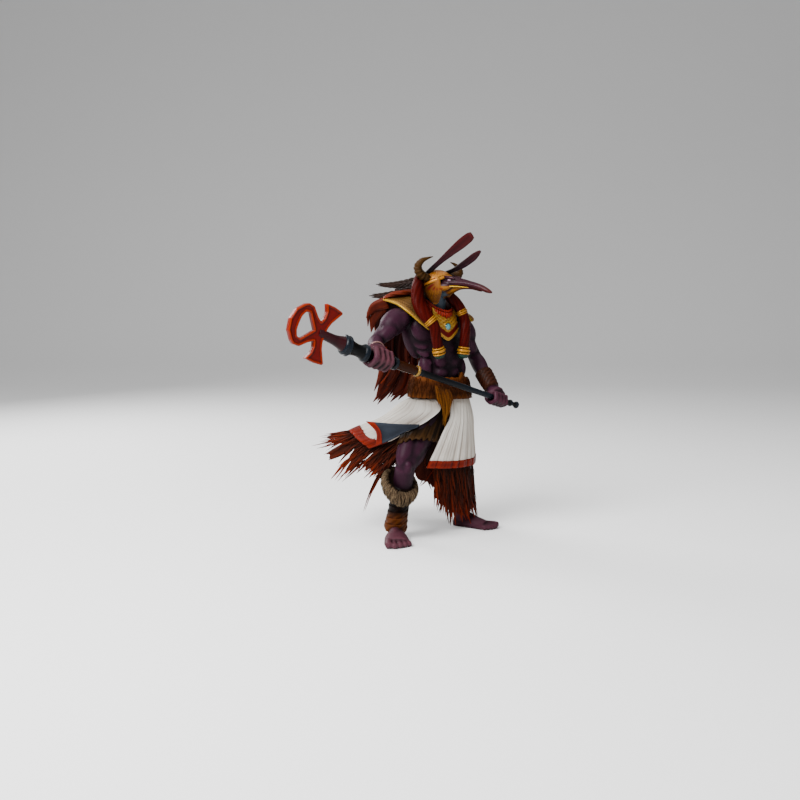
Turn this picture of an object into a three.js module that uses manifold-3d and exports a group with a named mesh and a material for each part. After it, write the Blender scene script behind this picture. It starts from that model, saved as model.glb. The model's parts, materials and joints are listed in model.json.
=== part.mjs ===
// A standing figure of an Egyptian animal-headed god in a blown kilt, cast in one piece. It holds a
// separate staff with an ankh head in both fists, and a round stone is set in its collar.
// Millimetres, +Z up. The figure is posed on a floor at height 0, and the whole is centred at the end.
import * as THREE from "three";
import { mergeVertices } from "three/addons/utils/BufferGeometryUtils.js";
import Module from "manifold-3d";

const wasm = await Module();
wasm.setup();

// Driving dimensions
const FLOOR = 0;
const CHEST_TURN = THREE.MathUtils.degToRad(35);
const HEAD_TURN = THREE.MathUtils.degToRad(52);
const FIT_GAP = 0.3;
const CLOTH = 2.4;
const TAU = Math.PI * 2;

// How far a simplified skin may lie from the full one: before the bores are cut, after them, and on the staff
const DETAIL = 0.9;
const FINE_DETAIL = 0.25;
const STAFF_DETAIL = 0.1;

// Vectors and body frames
const point = (x, y, z) => new THREE.Vector3(x, y, z);
const between = (a, b, t) => a.clone().lerp(b, t);

// A body frame gives a place from its distances to the figure's right, to its front and upwards.
function bodyFrame(origin, turn) {
  const right = point(-Math.cos(turn), -Math.sin(turn), 0);
  const front = point(Math.sin(turn), -Math.cos(turn), 0);
  const at = (r, f, u) =>
    origin.clone().addScaledVector(right, r).addScaledVector(front, f).add(point(0, 0, u));
  return { at, right, front };
}

// Places of the joints
const PELVIS = bodyFrame(point(41.5, -26.5, 131), CHEST_TURN);
const WAIST = bodyFrame(point(41, -25, 157), CHEST_TURN);
const CHEST = bodyFrame(point(32, -25, 199), CHEST_TURN);
const HEAD = bodyFrame(point(34, -38, 244.5), HEAD_TURN);
const SHOULDER_R = point(2, -43, 212);
const ELBOW_R = point(-23, -67, 190);
const WRIST_R = point(-20.5, -95, 184);
const FIST_R = point(-17.7, -108, 178.3);
const SHOULDER_L = point(57, -5, 205);
const ELBOW_L = point(74.5, 1, 171);
const WRIST_L = point(87.5, -25, 146);
const FIST_L = point(94.4, -36, 133.6);
const HIP_R = point(29, -36, 122);
const KNEE_R = point(5, -72, 74);
const ANKLE_R = point(-4, -50, 13);
const HIP_L = point(52, -19, 122);
const KNEE_L = point(61, -18, 69);
const ANKLE_L = point(62, -1, 12);
const HEEL_R = point(-5, -42, 3);
const TOE_R = point(-1, -90, 2.5);
const HEEL_L = point(56, 4, 3);
const TOE_L = point(94, -18, 2.5);

// Staff sizes
const STAFF_AXIS = FIST_R.clone().sub(FIST_L).normalize();
const FIST_SPAN = FIST_R.distanceTo(FIST_L);
const SHAFT_RADIUS = 2.6;
const GRIP_RADIUS = 4.2;
const ANKH_ALONG = 65.5;
const ANKH_LIFT = 4;
const ANKH_THICKNESS = 6.4;

// Solids
function solidOf(geometry) {
  const bare = geometry.clone();
  bare.deleteAttribute("normal");
  bare.deleteAttribute("uv");
  const merged = mergeVertices(bare, 1e-4);
  const triVerts = new Uint32Array(merged.index.array);
  const make = () =>
    new wasm.Manifold(
      new wasm.Mesh({ numProp: 3, vertProperties: merged.attributes.position.array, triVerts }),
    );
  const made = make();
  if (made.volume() >= 0) return made;
  for (let i = 0; i < triVerts.length; i += 3) {
    [triVerts[i + 1], triVerts[i + 2]] = [triVerts[i + 2], triVerts[i + 1]];
  }
  return make();
}

function geometryOf(solid) {
  const mesh = solid.getMesh();
  return new THREE.BufferGeometry()
    .setAttribute("position", new THREE.BufferAttribute(mesh.vertProperties, 3))
    .setIndex(new THREE.BufferAttribute(mesh.triVerts, 1));
}

const join = (pieces) => wasm.Manifold.union(pieces);

// The largest connected body, with its sealed cavities filled
const solidBody = (solid) => solid.decompose().reduce((a, b) => (b.volume() > a.volume() ? b : a));

// A closed skin: a sphere's rings moved to where place(row, angle) puts them, with a pole at each end.
function skin(rows, sides, place) {
  const sphere = new THREE.SphereGeometry(1, sides, rows + 1);
  const positions = sphere.attributes.position;
  for (let row = 0; row <= rows + 1; row++) {
    for (let side = 0; side <= sides; side++) {
      const p = place(row, ((side % sides) / sides) * TAU);
      positions.setXYZ(row * (sides + 1) + side, p.x, p.y, p.z);
    }
  }
  return solidOf(sphere);
}

// A limb along a smooth line. Each half size is [across, towards the front]; one number is a round section.
function limb(line, halfSizes, { sides = 8, rows = 6, front = point(0, -1, 0), cap = 0.5, wave } = {}) {
  const path = new THREE.CatmullRomCurve3(line);
  const sizes = new THREE.CatmullRomCurve3(
    halfSizes.map((s) => (Array.isArray(s) ? point(s[0], s[1], 0) : point(s, s, 0))),
  );
  return skin(rows, sides, (row, angle) => {
    const t = THREE.MathUtils.clamp((row - 1) / (rows - 1), 0, 1);
    const along = path.getTangent(t);
    const across = along.clone().cross(front).normalize();
    const ahead = across.clone().cross(along).normalize();
    const centre = path.getPoint(t);
    const size = sizes.getPoint(t);
    if (row === 0) return centre.addScaledVector(along, -cap * Math.min(size.x, size.y));
    if (row === rows + 1) return centre.addScaledVector(along, cap * Math.min(size.x, size.y));
    const grown = wave ? wave(t, angle) : 1;
    return centre
      .addScaledVector(across, Math.cos(angle) * size.x * grown)
      .addScaledVector(ahead, Math.sin(angle) * size.y * grown);
  });
}

// A spindle, thickest in its middle.
function muscle(from, to, radius, { flat = 1, front = point(0, -1, 0), sides = 6, thin = 0.62 } = {}) {
  const line = [0.12, 0.5, 0.88].map((t) => between(from, to, t));
  const ends = radius * thin;
  return limb(line, [[ends, ends * flat], [radius, radius * flat], [ends, ends * flat]], {
    sides,
    rows: 3,
    front,
    cap: 0.9,
  });
}

// A sheet over place(u, v), with u from 0 to 1 across and v at the given stations down.
// Where the edge is cut into tongues, smooth(u, v) is the uncut surface that gives the thickness its
// direction.
function sheet(columns, stations, place, { thickness = () => CLOTH, smooth = place } = {}) {
  const rows = stations.length - 1;
  const box = new THREE.BoxGeometry(1, 1, 1, columns, rows, 1);
  const positions = box.attributes.position;
  const step = 0.01;
  for (let i = 0; i < positions.count; i++) {
    const u = positions.getX(i) + 0.5;
    const v = stations[Math.round((positions.getY(i) + 0.5) * rows)];
    const side = Math.sign(positions.getZ(i));
    const alongU = smooth(Math.min(u + step, 1), v).sub(smooth(Math.max(u - step, 0), v));
    const alongV = smooth(u, Math.min(v + step, 1)).sub(smooth(u, Math.max(v - step, 0)));
    const p = place(u, v).addScaledVector(alongU.cross(alongV).normalize(), (side * thickness(u, v)) / 2);
    positions.setXYZ(i, p.x, p.y, p.z);
  }
  return solidOf(box);
}

// The smooth surface through columns of points: u runs across the columns and v down each of them.
function surface(columns) {
  const downs = columns.map((column) => new THREE.CatmullRomCurve3(column));
  return (u, v) => new THREE.CatmullRomCurve3(downs.map((down) => down.getPoint(v))).getPoint(u);
}

// The last row of a sheet drawn out into tongues: every second column stops short.
function ragged(columns, shortest, u, v) {
  if (v < 1) return v;
  const column = Math.round(u * columns);
  return column % 2 ? shortest : 1 - 0.1 * Math.sin(column * 2.1) ** 2;
}

// A place on the trunk, which leans from the waist to the chest
function trunk(right, ahead, up) {
  const share = THREE.MathUtils.clamp(-up / 42, 0, 1);
  return between(CHEST.at(0, 0, 0), WAIST.at(0, 0, 0), share)
    .setZ(CHEST.at(0, 0, up).z)
    .addScaledVector(CHEST.right, right)
    .addScaledVector(CHEST.front, ahead);
}

// Torso
function torso() {
  const sections = [
    [PELVIS.at(0, 0, -16), [12, 11]],
    [PELVIS.at(0, -1, -6), [25, 16]],
    [PELVIS.at(0, 0, 8), [25, 15.5]],
    [WAIST.at(0, 0, 0), [19, 12]],
    [WAIST.at(-1, 0, 20), [22, 13.5]],
    [CHEST.at(0, 0, -2), [29, 16.5]],
    [CHEST.at(0, 0, 9), [31, 15.5]],
    [CHEST.at(0, -1, 17), [21, 12]],
    [CHEST.at(-1, 1, 23), [11, 10]],
  ];
  const core = limb(
    sections.map((s) => s[0]),
    sections.map((s) => s[1]),
    { sides: 14, rows: 10, front: CHEST.front },
  );
  const frontOf = { front: CHEST.front };
  const pieces = [core];
  for (const side of [-1, 1]) {
    const on = (right, ahead, up) => trunk(side * right, ahead, up);
    pieces.push(
      muscle(on(3, 13.5, -1), on(31, 6.5, 5.5), 13, { ...frontOf, flat: 0.5, sides: 8 }),
      muscle(on(30, -5, 6), on(20.5, -6, -27), 7.5, frontOf),
      muscle(on(3, -6, 30), on(31, -6, 13), 8, frontOf),
      muscle(on(20, 3, -24), on(21, 4.5, -46), 6.5, frontOf),
      muscle(on(24, -13, 12), on(8, -14, -6), 7, { ...frontOf, flat: 0.6 }),
      muscle(on(3.5, 8, -46), on(17, 6, -38), 5.5, { ...frontOf, flat: 0.7 }),
    );
    const bellyRows = [
      [-17, 12.8, 6.9],
      [-29.5, 11.6, 6.8],
      [-40.5, 10.6, 6.6],
    ];
    for (const [up, ahead, out] of bellyRows) {
      const low = on(out, ahead, up - 6.4);
      pieces.push(muscle(on(out, ahead, up + 6.4), low, 6.6, { ...frontOf, flat: 0.58 }));
    }
    for (const rib of [0, 1, 2]) {
      const high = on(27.5 - 1.5 * rib, 2, -11 - 7.5 * rib);
      pieces.push(muscle(high, on(19 - rib, 10.8, -16 - 7.5 * rib), 3.6, { ...frontOf, flat: 0.5 }));
    }
  }
  return pieces;
}

// Arms
function arm(shoulder, elbow, wrist, chestSide) {
  const outward = CHEST.right.clone().multiplyScalar(chestSide);
  const front = CHEST.front.clone().multiplyScalar(0.6).addScaledVector(outward, 0.4).normalize();
  const upper = elbow.clone().sub(shoulder);
  const inBend = wrist.clone().sub(elbow).normalize().sub(upper.clone().normalize()).normalize();
  const onUpper = (t, ahead, out = 0) =>
    between(shoulder, elbow, t).addScaledVector(inBend, ahead).addScaledVector(outward, out);
  const onFore = (t, out, ahead = 0) =>
    between(elbow, wrist, t).addScaledVector(outward, out).addScaledVector(inBend, ahead);
  const top = shoulder.clone().addScaledVector(outward, -4).add(point(0, 0, 5));
  return [
    limb([shoulder, onUpper(0.5, 0), elbow], [9, 7.6, 6.8], { sides: 8, rows: 4, front }),
    limb([elbow, between(elbow, wrist, 0.3), wrist], [7, 7.6, 5.2], { sides: 8, rows: 4, front }),
    muscle(top, onUpper(0.62, 0, 3.5), 12, { front, sides: 8 }),
    muscle(top.clone().addScaledVector(CHEST.front, 6), onUpper(0.5, 3, 1), 8.5, { front }),
    muscle(top.clone().addScaledVector(CHEST.front, -7), onUpper(0.5, -4, 1), 8.5, { front }),
    muscle(onUpper(0.28, 4), onUpper(0.98, 4), 7.6, { front }),
    muscle(onUpper(0.2, -4.5), onUpper(0.95, -3.5), 7.6, { front }),
    muscle(onUpper(0.85, 0, 2.5), onFore(0.7, 1.5), 6.6, { front }),
    muscle(onUpper(0.95, -3), onFore(0.75, -0.5, -2.5), 5.6, { front }),
  ];
}

// A fist closed on the staff. Each finger runs straight from knuckle to knuckle round the shaft, and the
// palm lies behind it.
function fist(centre, wrist, size, shaftRadius) {
  const towards = centre.clone().sub(wrist);
  const ahead = towards.addScaledVector(STAFF_AXIS, -towards.dot(STAFF_AXIS)).normalize();
  const up = STAFF_AXIS.clone().cross(ahead);
  const fingerRadius = 3.1 * size;
  const reach = shaftRadius + fingerRadius * 0.8;
  const around = (along, degrees, away) => {
    const angle = THREE.MathUtils.degToRad(degrees);
    return centre
      .clone()
      .addScaledVector(STAFF_AXIS, along)
      .addScaledVector(ahead, Math.cos(angle) * away)
      .addScaledVector(up, Math.sin(angle) * away);
  };
  const knuckles = [
    [112, 2.6],
    [18, 3.2],
    [-62, 1.8],
    [-112, 0.4],
  ];
  const finger = (along, thick) => {
    const bends = knuckles.map(([degrees, away]) => around(along, degrees, reach + away * size));
    const bone = (end, n) => [between(bends[n], end, 0.15), between(bends[n], end, 0.85)];
    const line = bends.slice(1).flatMap(bone);
    const sizes = line.map((_, n) => [thick * (1 - 0.03 * n), thick * 0.9 * (1 - 0.03 * n)]);
    return limb(line, sizes, { sides: 6, rows: 6, front: STAFF_AXIS.clone().cross(ahead), cap: 0.3 });
  };
  const palmAt = (along) => around(along * size, 176, reach + 1.5 * size);
  return [
    finger(8.1 * size, fingerRadius),
    finger(2.9 * size, fingerRadius * 0.97),
    finger(-2.3 * size, fingerRadius * 0.93),
    finger(-7.1 * size, fingerRadius * 0.86),
    limb(
      [palmAt(9), palmAt(0), palmAt(-9)],
      [[6.5, 6], [7.5, 6.5], [6, 5.5]].map((pair) => pair.map((half) => half * size)),
      { sides: 6, rows: 3, front: up },
    ),
    limb(
      [wrist, between(wrist, palmAt(0), 0.55), around(0, 150, reach + 2)],
      [[5.4, 5.4], [8, 6], [9, 6]].map((pair) => pair.map((half) => half * size)),
      { sides: 6, rows: 3, front: up },
    ),
    limb(
      [
        around(6 * size, 200, reach + 3.4),
        around(9.6 * size, 238, reach + 2),
        around(9.2 * size, 285, reach + 1.4),
      ],
      [3.9 * size, 3.3 * size, 2.5 * size],
      { sides: 5, rows: 3, front: STAFF_AXIS },
    ),
  ];
}

// Legs
function leg(hip, knee, ankle, side, bareThigh) {
  const ahead = PELVIS.front.clone().multiplyScalar(0.8).add(point(0, -0.5, 0)).normalize();
  const inner = PELVIS.right.clone().multiplyScalar(-side);
  const on = (a, b, t, f, i) => between(a, b, t).addScaledVector(ahead, f).addScaledVector(inner, i);
  const opts = { front: ahead };
  return [
    limb([hip, between(hip, knee, 0.4), between(hip, knee, 0.8), knee], [17, 15.5, 11, 9.5], {
      ...opts,
      sides: 8,
      rows: 4,
    }),
    limb([knee, between(knee, ankle, 0.35), between(knee, ankle, 0.75), ankle], [9.5, 9.5, 6.5, 6], {
      ...opts,
      sides: 8,
      rows: 4,
    }),
    muscle(on(knee, ankle, 0.02, -5, 0), on(knee, ankle, 0.62, -4, 0), 8.2, opts),
    ...(bareThigh
      ? [
          muscle(on(hip, knee, 0.1, 7, 0), on(hip, knee, 0.92, 5, 0), 9.5, opts),
          muscle(on(hip, knee, 0.25, 3, -9), on(hip, knee, 0.95, 3, -5), 8.5, opts),
          muscle(on(hip, knee, 0.5, 4, 7), on(hip, knee, 1.02, 3, 5.5), 7.5, opts),
          muscle(on(hip, knee, 0.3, 2, -11), on(hip, knee, 1.0, 2, -6.5), 9.5, opts),
          muscle(on(hip, knee, 0.86, 3, -5), on(knee, ankle, 0.1, 3, -5), 6, opts),
          muscle(on(knee, ankle, -0.08, 7, 0), on(knee, ankle, 0.14, 7, 0), 5.5, opts),
        ]
      : []),
  ];
}

// A bare foot with a heel, an instep and five toes. The floor cut makes its sole flat.
function foot(heel, toe, ankle, side, width = 1) {
  const ahead = toe.clone().sub(heel).setZ(0).normalize();
  const inner = point(ahead.y, -ahead.x, 0).multiplyScalar(side * width);
  const at = (t, i, z) => between(heel, toe, t).addScaledVector(inner, i).setZ(z);
  const up = { front: point(0, 0, 1) };
  const sole = limb(
    [at(0.02, 0, 3), at(0.25, 0, 3.5), at(0.5, 0.5, 3.5), at(0.76, 0.3, 2)],
    [[6.6, 6.5], [7.2, 8.6], [8.2 * width, 7.6], [9.4 * width, 5.6]],
    { ...up, sides: 8, rows: 5 },
  );
  const ankleJoint = limb([ankle.clone().add(point(0, 0, 6)), ankle, at(0.24, 0, 5)], [6.2, 7.4, 7], {
    front: ahead,
    sides: 8,
    rows: 3,
  });
  const instepLine = [ankle.clone().addScaledVector(ahead, 1), at(0.42, 1, 8), at(0.68, 1.5, 4)];
  const instep = limb(instepLine, [5.6, 5, 4], {
    ...up,
    sides: 6,
    rows: 3,
  });
  const toes = [
    [6.8, 1, 3.4],
    [2.9, 1.02, 2.7],
    [-0.9, 0.98, 2.6],
    [-4.4, 0.93, 2.5],
    [-7.6, 0.87, 2.5],
  ].map(([across, reach, radius]) =>
    limb(
      [
        at(0.68, across * 0.9, radius),
        at(reach - 0.08, across, radius + 0.6),
        at(reach, across, radius - 0.5),
      ],
      [radius * 0.9, radius, radius * 0.9],
      { ...up, sides: 5, rows: 3, cap: 0.4 },
    ),
  );
  return [sole, ankleJoint, instep, ...toes];
}

// Head of the Set animal: a long curved snout and two tall ears with squared ends
function head() {
  const h = HEAD.at;
  const front = { front: HEAD.front };
  const up = { front: point(0, 0, 1) };
  const snoutLine = [
    h(0, 6, -0.5),
    h(0, 16, -0.8),
    h(0, 28, -0.2),
    h(0, 40, -1.3),
    h(0, 52, -4.3),
    h(0, 58.5, -6.9),
    h(0, 63, -8.6),
  ];
  const jawLine = [h(0, 8, -8), h(0, 18, -6.5), h(0, 28, -4.4), h(0, 40, -4.4), h(0, 52, -7)];
  const pieces = [
    limb([CHEST.at(0, 0, 14), CHEST.at(0, 3, 27), h(0, -4, -6)], [[12, 12], [10.5, 10.5], [10, 10]], {
      front: CHEST.front,
      sides: 10,
      rows: 4,
    }),
    skin(5, 10, (row, angle) => {
      const polar = (row / 6) * Math.PI;
      const ring = Math.sin(polar);
      return h(ring * Math.cos(angle) * 12.5, ring * Math.sin(angle) * 15, Math.cos(polar) * 11);
    }),
    limb(snoutLine, [[9, 7.5], [8, 6.3], [5.8, 4.2], [4.3, 3.1], [3.3, 2.8], [2.6, 2.2], [1.2, 1]], {
      ...up,
      sides: 8,
      rows: 9,
      cap: 0.4,
    }),
    limb(jawLine, [[6.5, 5], [5, 3.6], [3.6, 2], [2.6, 1.5], [1.8, 1.1]], { ...up, sides: 6, rows: 5 }),
    muscle(h(0, 14, 5), h(0, 44, -0.4), 2.2, up),
  ];
  for (const side of [-1, 1]) {
    pieces.push(
      muscle(h(side * 6.6, 13, 6), h(side * 5.4, 26, 4), 1.7, front),
      muscle(h(side * 8, 2, -5), h(side * 6, 22, -2.5), 4.6, front),
      muscle(h(side * 6.2, 17.1, 2.6), h(side * 6.2, 21.9, 2.6), 1.3, front),
    );
  }
  return pieces.concat(
    ear(h(8.5, -4, 9), point(66.4, -71, 288.5), [2.4, 2.5, 3.7, 4.8, 4.5, 3.2], 4),
    ear(h(-8.5, 5, 9), point(74, -66, 274), [2, 2.1, 3.3, 3.5, 2.4, 1.2], -10),
  );
}

// A long ear, flat like a blade, that widens and then ends square
function ear(root, tip, widths, sag) {
  const stations = [0, 0.25, 0.52, 0.78, 0.92, 0.985];
  const thickness = [2.8, 2.2, 1.9, 1.7, 1.5, 1.2];
  const line = stations.map((t) => between(root, tip, t).add(point(0, 0, sag * t * (1 - t))));
  const faces = HEAD.right.clone().multiplyScalar(0.55).add(point(0, -0.6, 0)).normalize();
  const sizes = widths.map((wide, n) => [wide, thickness[n]]);
  return limb(line, sizes, { sides: 6, rows: 8, front: faces, cap: 0.3 });
}

// Headdress: a cap with a brow band, two smooth horns, cheek cloths, two bound plaits and two lappets
function headdress() {
  const h = HEAD.at;
  const capHalf = [14, 16.5, 12];
  const rimAt = [
    [0.3, 0],
    [0.6, 0],
    [0.88, 0],
    [0.91, 0.9],
    [1, 0.9],
  ];
  const cap = skin(rimAt.length, 10, (row, angle) => {
    if (row === 0) return h(0, 1, capHalf[2] + 0.3);
    if (row > rimAt.length) return h(0, -2, -4);
    const [share, grow] = rimAt[row - 1];
    const front = 0.5 + 0.5 * Math.sin(angle);
    const polar = THREE.MathUtils.lerp(0.62, 0.35, front ** 1.5) * Math.PI * share;
    const [across, deep, high] = capHalf.map((half) => half + grow);
    const ring = Math.sin(polar);
    const right = ring * Math.cos(angle) * across;
    return h(right, ring * Math.sin(angle) * deep + 1, Math.cos(polar) * high + 0.3);
  });
  const hornSizes = [3.6, 3.9, 3.6, 2.6, 1.4, 0.4];
  const horn = (line) => limb(line, hornSizes, { sides: 6, rows: 8, front: point(0, 0, 1) });
  const nearHorn = [
    h(12.5, 0, 4),
    h(20, -3.5, 8.5),
    h(22.5, -4.5, 15),
    h(20.5, -1.5, 20.5),
    h(17, 2, 22.8),
    h(13, 6, 24.5),
  ];
  const farHorn = [
    h(-10, 3, 5),
    h(-17, 7, 5.5),
    h(-24, 10, 8.5),
    h(-25, 9.5, 13.5),
    h(-20.5, 7, 17.5),
    h(-16.5, 5, 19.5),
  ];
  const cheek = (side, back) =>
    limb(
      [
        h(side * 10.5, 2, 4),
        h(side * 10.5, 3 - back / 3, -5),
        h(side * 8, 4.5 - back, -13),
        h(side * 4, 5.5 - back, -22),
      ],
      [[10.5, 3.6], [11.3, 4], [8.5, 3.8], [2.5, 2.4]],
      { sides: 8, rows: 5, front: HEAD.right },
    );
  const scarfLine = [h(8, -10, 0), point(12, -28, 241), point(-5, -15, 238)];
  const scarfEnd = limb(scarfLine, [[3.4, 1.8], [3, 1.6], [0.6, 0.5]], { sides: 5, rows: 4 });
  const rightLine = [
    h(14, -8, 6),
    point(16.5, -49, 239.5),
    point(17.5, -53, 226.5),
    point(23.5, -56.5, 215),
    point(31.5, -57, 205),
    point(34, -56, 193),
    point(37.2, -53, 178),
  ];
  const leftLine = [
    h(-10, -5, 4),
    point(48.2, -31, 231.1),
    point(55.3, -31, 223.6),
    point(62, -31, 209),
    point(62.5, -34, 195.1),
    point(60.7, -35, 176.8),
  ];
  return [
    cap,
    horn(nearHorn),
    horn(farHorn),
    cheek(1, 0),
    cheek(-1, 4.5),
    plait(h(7, -12, 2), point(-23.5, -8, 243), 4.6),
    plait(h(9, -12, -6), point(-30, -16, 232), 5.2),
    scarfEnd,
    lappet(rightLine, 0.6),
    lappet(leftLine, 0.5),
  ];
}

function plait(root, tip, radius) {
  const line = [0, 0.35, 0.7, 1].map((t) => between(root, tip, t).add(point(0, 0, -8 * t * (1 - t))));
  return limb(line, [radius, radius * 0.86, radius * 0.5, 0.7], {
    sides: 5,
    rows: 10,
    wave: (t) => 1 + 0.16 * Math.cos(t * TAU * 4.5),
  });
}

// A wrapped lock that falls to the chest, with a ring at the given middle, a cap at its end and a tip below
// it. Its rings are [place along the line, radius, distance beyond the line's end].
function lappet(line, middle) {
  const path = new THREE.CatmullRomCurve3(line);
  const rings = [
    [0, 4.6, 0],
    [0.2, 4.9, 0],
    [middle - 0.035, 4.8, 0],
    [middle - 0.03, 5.8, 0],
    [middle + 0.03, 5.8, 0],
    [middle + 0.035, 4.8, 0],
    [0.915, 4.8, 0],
    [0.925, 6.6, 0],
    [1, 6.6, 0],
    [1, 5.8, 2],
    [1, 4.4, 4],
  ];
  return skin(rings.length, 7, (row, angle) => {
    const [t, radius, beyond] = rings[THREE.MathUtils.clamp(row - 1, 0, rings.length - 1)];
    const along = path.getTangent(t);
    const across = along.clone().cross(CHEST.front).normalize();
    const ahead = across.clone().cross(along).normalize();
    const inside = row === 0 || row > rings.length ? 0 : radius;
    return path
      .getPoint(t)
      .addScaledVector(along, beyond)
      .addScaledVector(across, Math.cos(angle) * inside)
      .addScaledVector(ahead, Math.sin(angle) * inside * 0.86);
  });
}

// Broad collar over the shoulders with a pointed breast piece, a row of beads and the stone's setting
const STONE_RADIUS = 3.6;
const STONE_AT = CHEST.at(-2.5, 19.5, 4);

function collar() {
  const yoke = sheet(12, [0, 0.5, 1], (u, v) => {
    const angle = (u - 0.5) * TAU * 0.98;
    const across = Math.sin(angle);
    const ahead = -Math.cos(angle);
    const reach = THREE.MathUtils.lerp(12, 22 + 10 * across * across, v);
    const rise = 23 + 7 * across * across - 2 * v - 9 * v * v;
    return CHEST.at(-across * reach, -2 + ahead * Math.min(reach * 0.75, 19), rise);
  });
  const breast = sheet(8, [0, 0.3, 0.6, 1], (u, v) => {
    const side = (u - 0.5) * 2;
    const x = side * THREE.MathUtils.lerp(14, 12.3, v);
    const lowest = -9.1 + 0.76 * (Math.hypot(x, 2) - 2);
    const up = THREE.MathUtils.lerp(15 + 8 * side * side, lowest, v);
    const ahead = 15.5 + 3.9 * THREE.MathUtils.smoothstep(20 - up, 0, 18) - 0.012 * x * x;
    return CHEST.at(-2.5 - x, ahead, up);
  });
  const beads = limb(
    [
      CHEST.at(18, 3.5, 31), CHEST.at(13, 9.5, 25), CHEST.at(7, 14.5, 18.5), CHEST.at(-3, 17.5, 15),
      CHEST.at(-12, 13.5, 17.5), CHEST.at(-15, 5.5, 24),
    ],
    [[3, 1.4], [3.6, 1.6], [3.6, 1.6], [3.6, 1.6], [3.6, 1.6], [3, 1.4]],
    { sides: 5, rows: 10, front: CHEST.front },
  );
  const setting = limb(
    [STONE_AT.clone().addScaledVector(CHEST.front, -4), STONE_AT.clone().addScaledVector(CHEST.front, 0.6)],
    [STONE_RADIUS + 1.6, STONE_RADIUS + 1.4],
    { sides: 10, rows: 2, front: point(0, 0, 1), cap: 0.05 },
  );
  return [yoke, breast, beads, setting, ...mantle()];
}

// The gilt bands over the shoulders: the right one narrows to a point on the chest
function mantle() {
  const right = surface([
    [point(-15.5, -37, 229), point(-13, -32, 231)],
    [point(-4, -46, 225.5), point(3, -36, 231)],
    [point(4.5, -52.5, 220), point(14, -40, 229)],
    [point(14, -55.5, 212.5), point(24, -50, 220)],
    [point(27.4, -54, 201), point(30, -53, 204)],
  ]);
  const left = surface([
    [point(51, -10, 219.5), point(46, -18, 224)],
    [point(60, -14, 217), point(57, -22, 218)],
    [point(68.5, -19, 212), point(66, -26, 211)],
    [point(71, -23, 209), point(69, -27, 207.5)],
  ]);
  const thickness = () => 2.6;
  return [sheet(8, [0, 0.5, 1], right, { thickness }), sheet(4, [0, 0.5, 1], left, { thickness })];
}

function stoneSolid(grow = 0) {
  const radius = STONE_RADIUS + grow;
  const inner = STONE_AT.clone().addScaledVector(CHEST.front, -1.2 - grow);
  const outer = STONE_AT.clone().addScaledVector(CHEST.front, 0.9);
  return limb([inner, outer], [radius, radius], { sides: 12, rows: 2, front: point(0, 0, 1), cap: 0.35 });
}

// Cape: from the shoulders down the back, blown to the figure's right and torn into tongues at its hem
function cape() {
  const cloth = surface([
    [
      point(6, -37, 221), point(-12, -33, 227.5), point(-24, -28, 217), point(-24, -18, 198),
      point(-9, -12, 163), point(-24, -6, 138),
    ],
    [
      point(10, -28, 223), point(2, -21, 219), point(-8, -10, 198), point(-9, -3, 176),
      point(-2, 0, 157), point(-24, 2, 128),
    ],
    [
      point(18, -20, 222), point(14, -9, 212), point(8, 0, 192), point(6, 4, 172), point(7, 5, 154),
      point(-8, 6, 128),
    ],
    [
      point(30, -12, 222), point(28, -4, 210), point(24, 2, 190), point(21, 5, 170), point(19, 6, 152),
      point(10, 8, 130),
    ],
    [
      point(42, -7, 218), point(42, 1, 206), point(40, 5, 188), point(36, 7, 168), point(33, 7, 152),
      point(28, 8, 136),
    ],
    [
      point(54, -4, 214), point(55, 2, 202), point(52, 6, 186), point(47, 7, 168), point(43, 7, 152),
      point(40, 7, 140),
    ],
  ]);
  const columns = 14;
  const place = (u, v) => {
    const wave = point(0, 1.6 * v * Math.sin(u * TAU * 4), 0);
    return cloth(u, ragged(columns, 0.74, u, v)).add(wave);
  };
  const corners = [
    tongue([point(-12, -33, 226), point(-25, -30, 221), point(-32.5, -30, 211)], 5.5, point(0, -1, 0)),
    tongue([point(-16, -30, 222), point(-25, -27, 210), point(-28, -26, 197)], 5, point(0, -1, 0)),
  ];
  const roll = limb(
    [point(-15, -37, 229.5), point(-8, -38, 233), point(1, -38, 234.5), point(11, -36, 236)],
    [[2.4, 2], [3.2, 2.6], [3.4, 3], [3, 2.6]],
    { sides: 6, rows: 4, front: point(0, 0, 1) },
  );
  return [sheet(columns, [0, 0.25, 0.5, 0.74, 1], place, { smooth: cloth }), ...corners, roll];
}

// A flat pointed tongue of torn cloth
function tongue(line, halfWidth, front, { rows = 3, sides = 4, thick = 1.3 } = {}) {
  const sizes = line.map((_, i) => {
    const t = i / (line.length - 1);
    return [halfWidth * (1 - t) ** 0.8 + 0.5, thick * (1 - 0.6 * t)];
  });
  return limb(line, sizes, { sides, rows, front, cap: 0.6 });
}

// Waist: a hide belt with a tab at its top edge and a hanging tuft
const BELT_ACROSS = 32.5;
const BELT_DEEP = 19;
const BELT_SHIFT = 3.5;
const TAB_AT = 330;

function beltPoint(degrees, grow, up) {
  const angle = THREE.MathUtils.degToRad(degrees);
  const right = Math.sin(angle) * (BELT_ACROSS + grow) + BELT_SHIFT;
  return PELVIS.at(right, Math.cos(angle) * (BELT_DEEP + grow), up);
}

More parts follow.
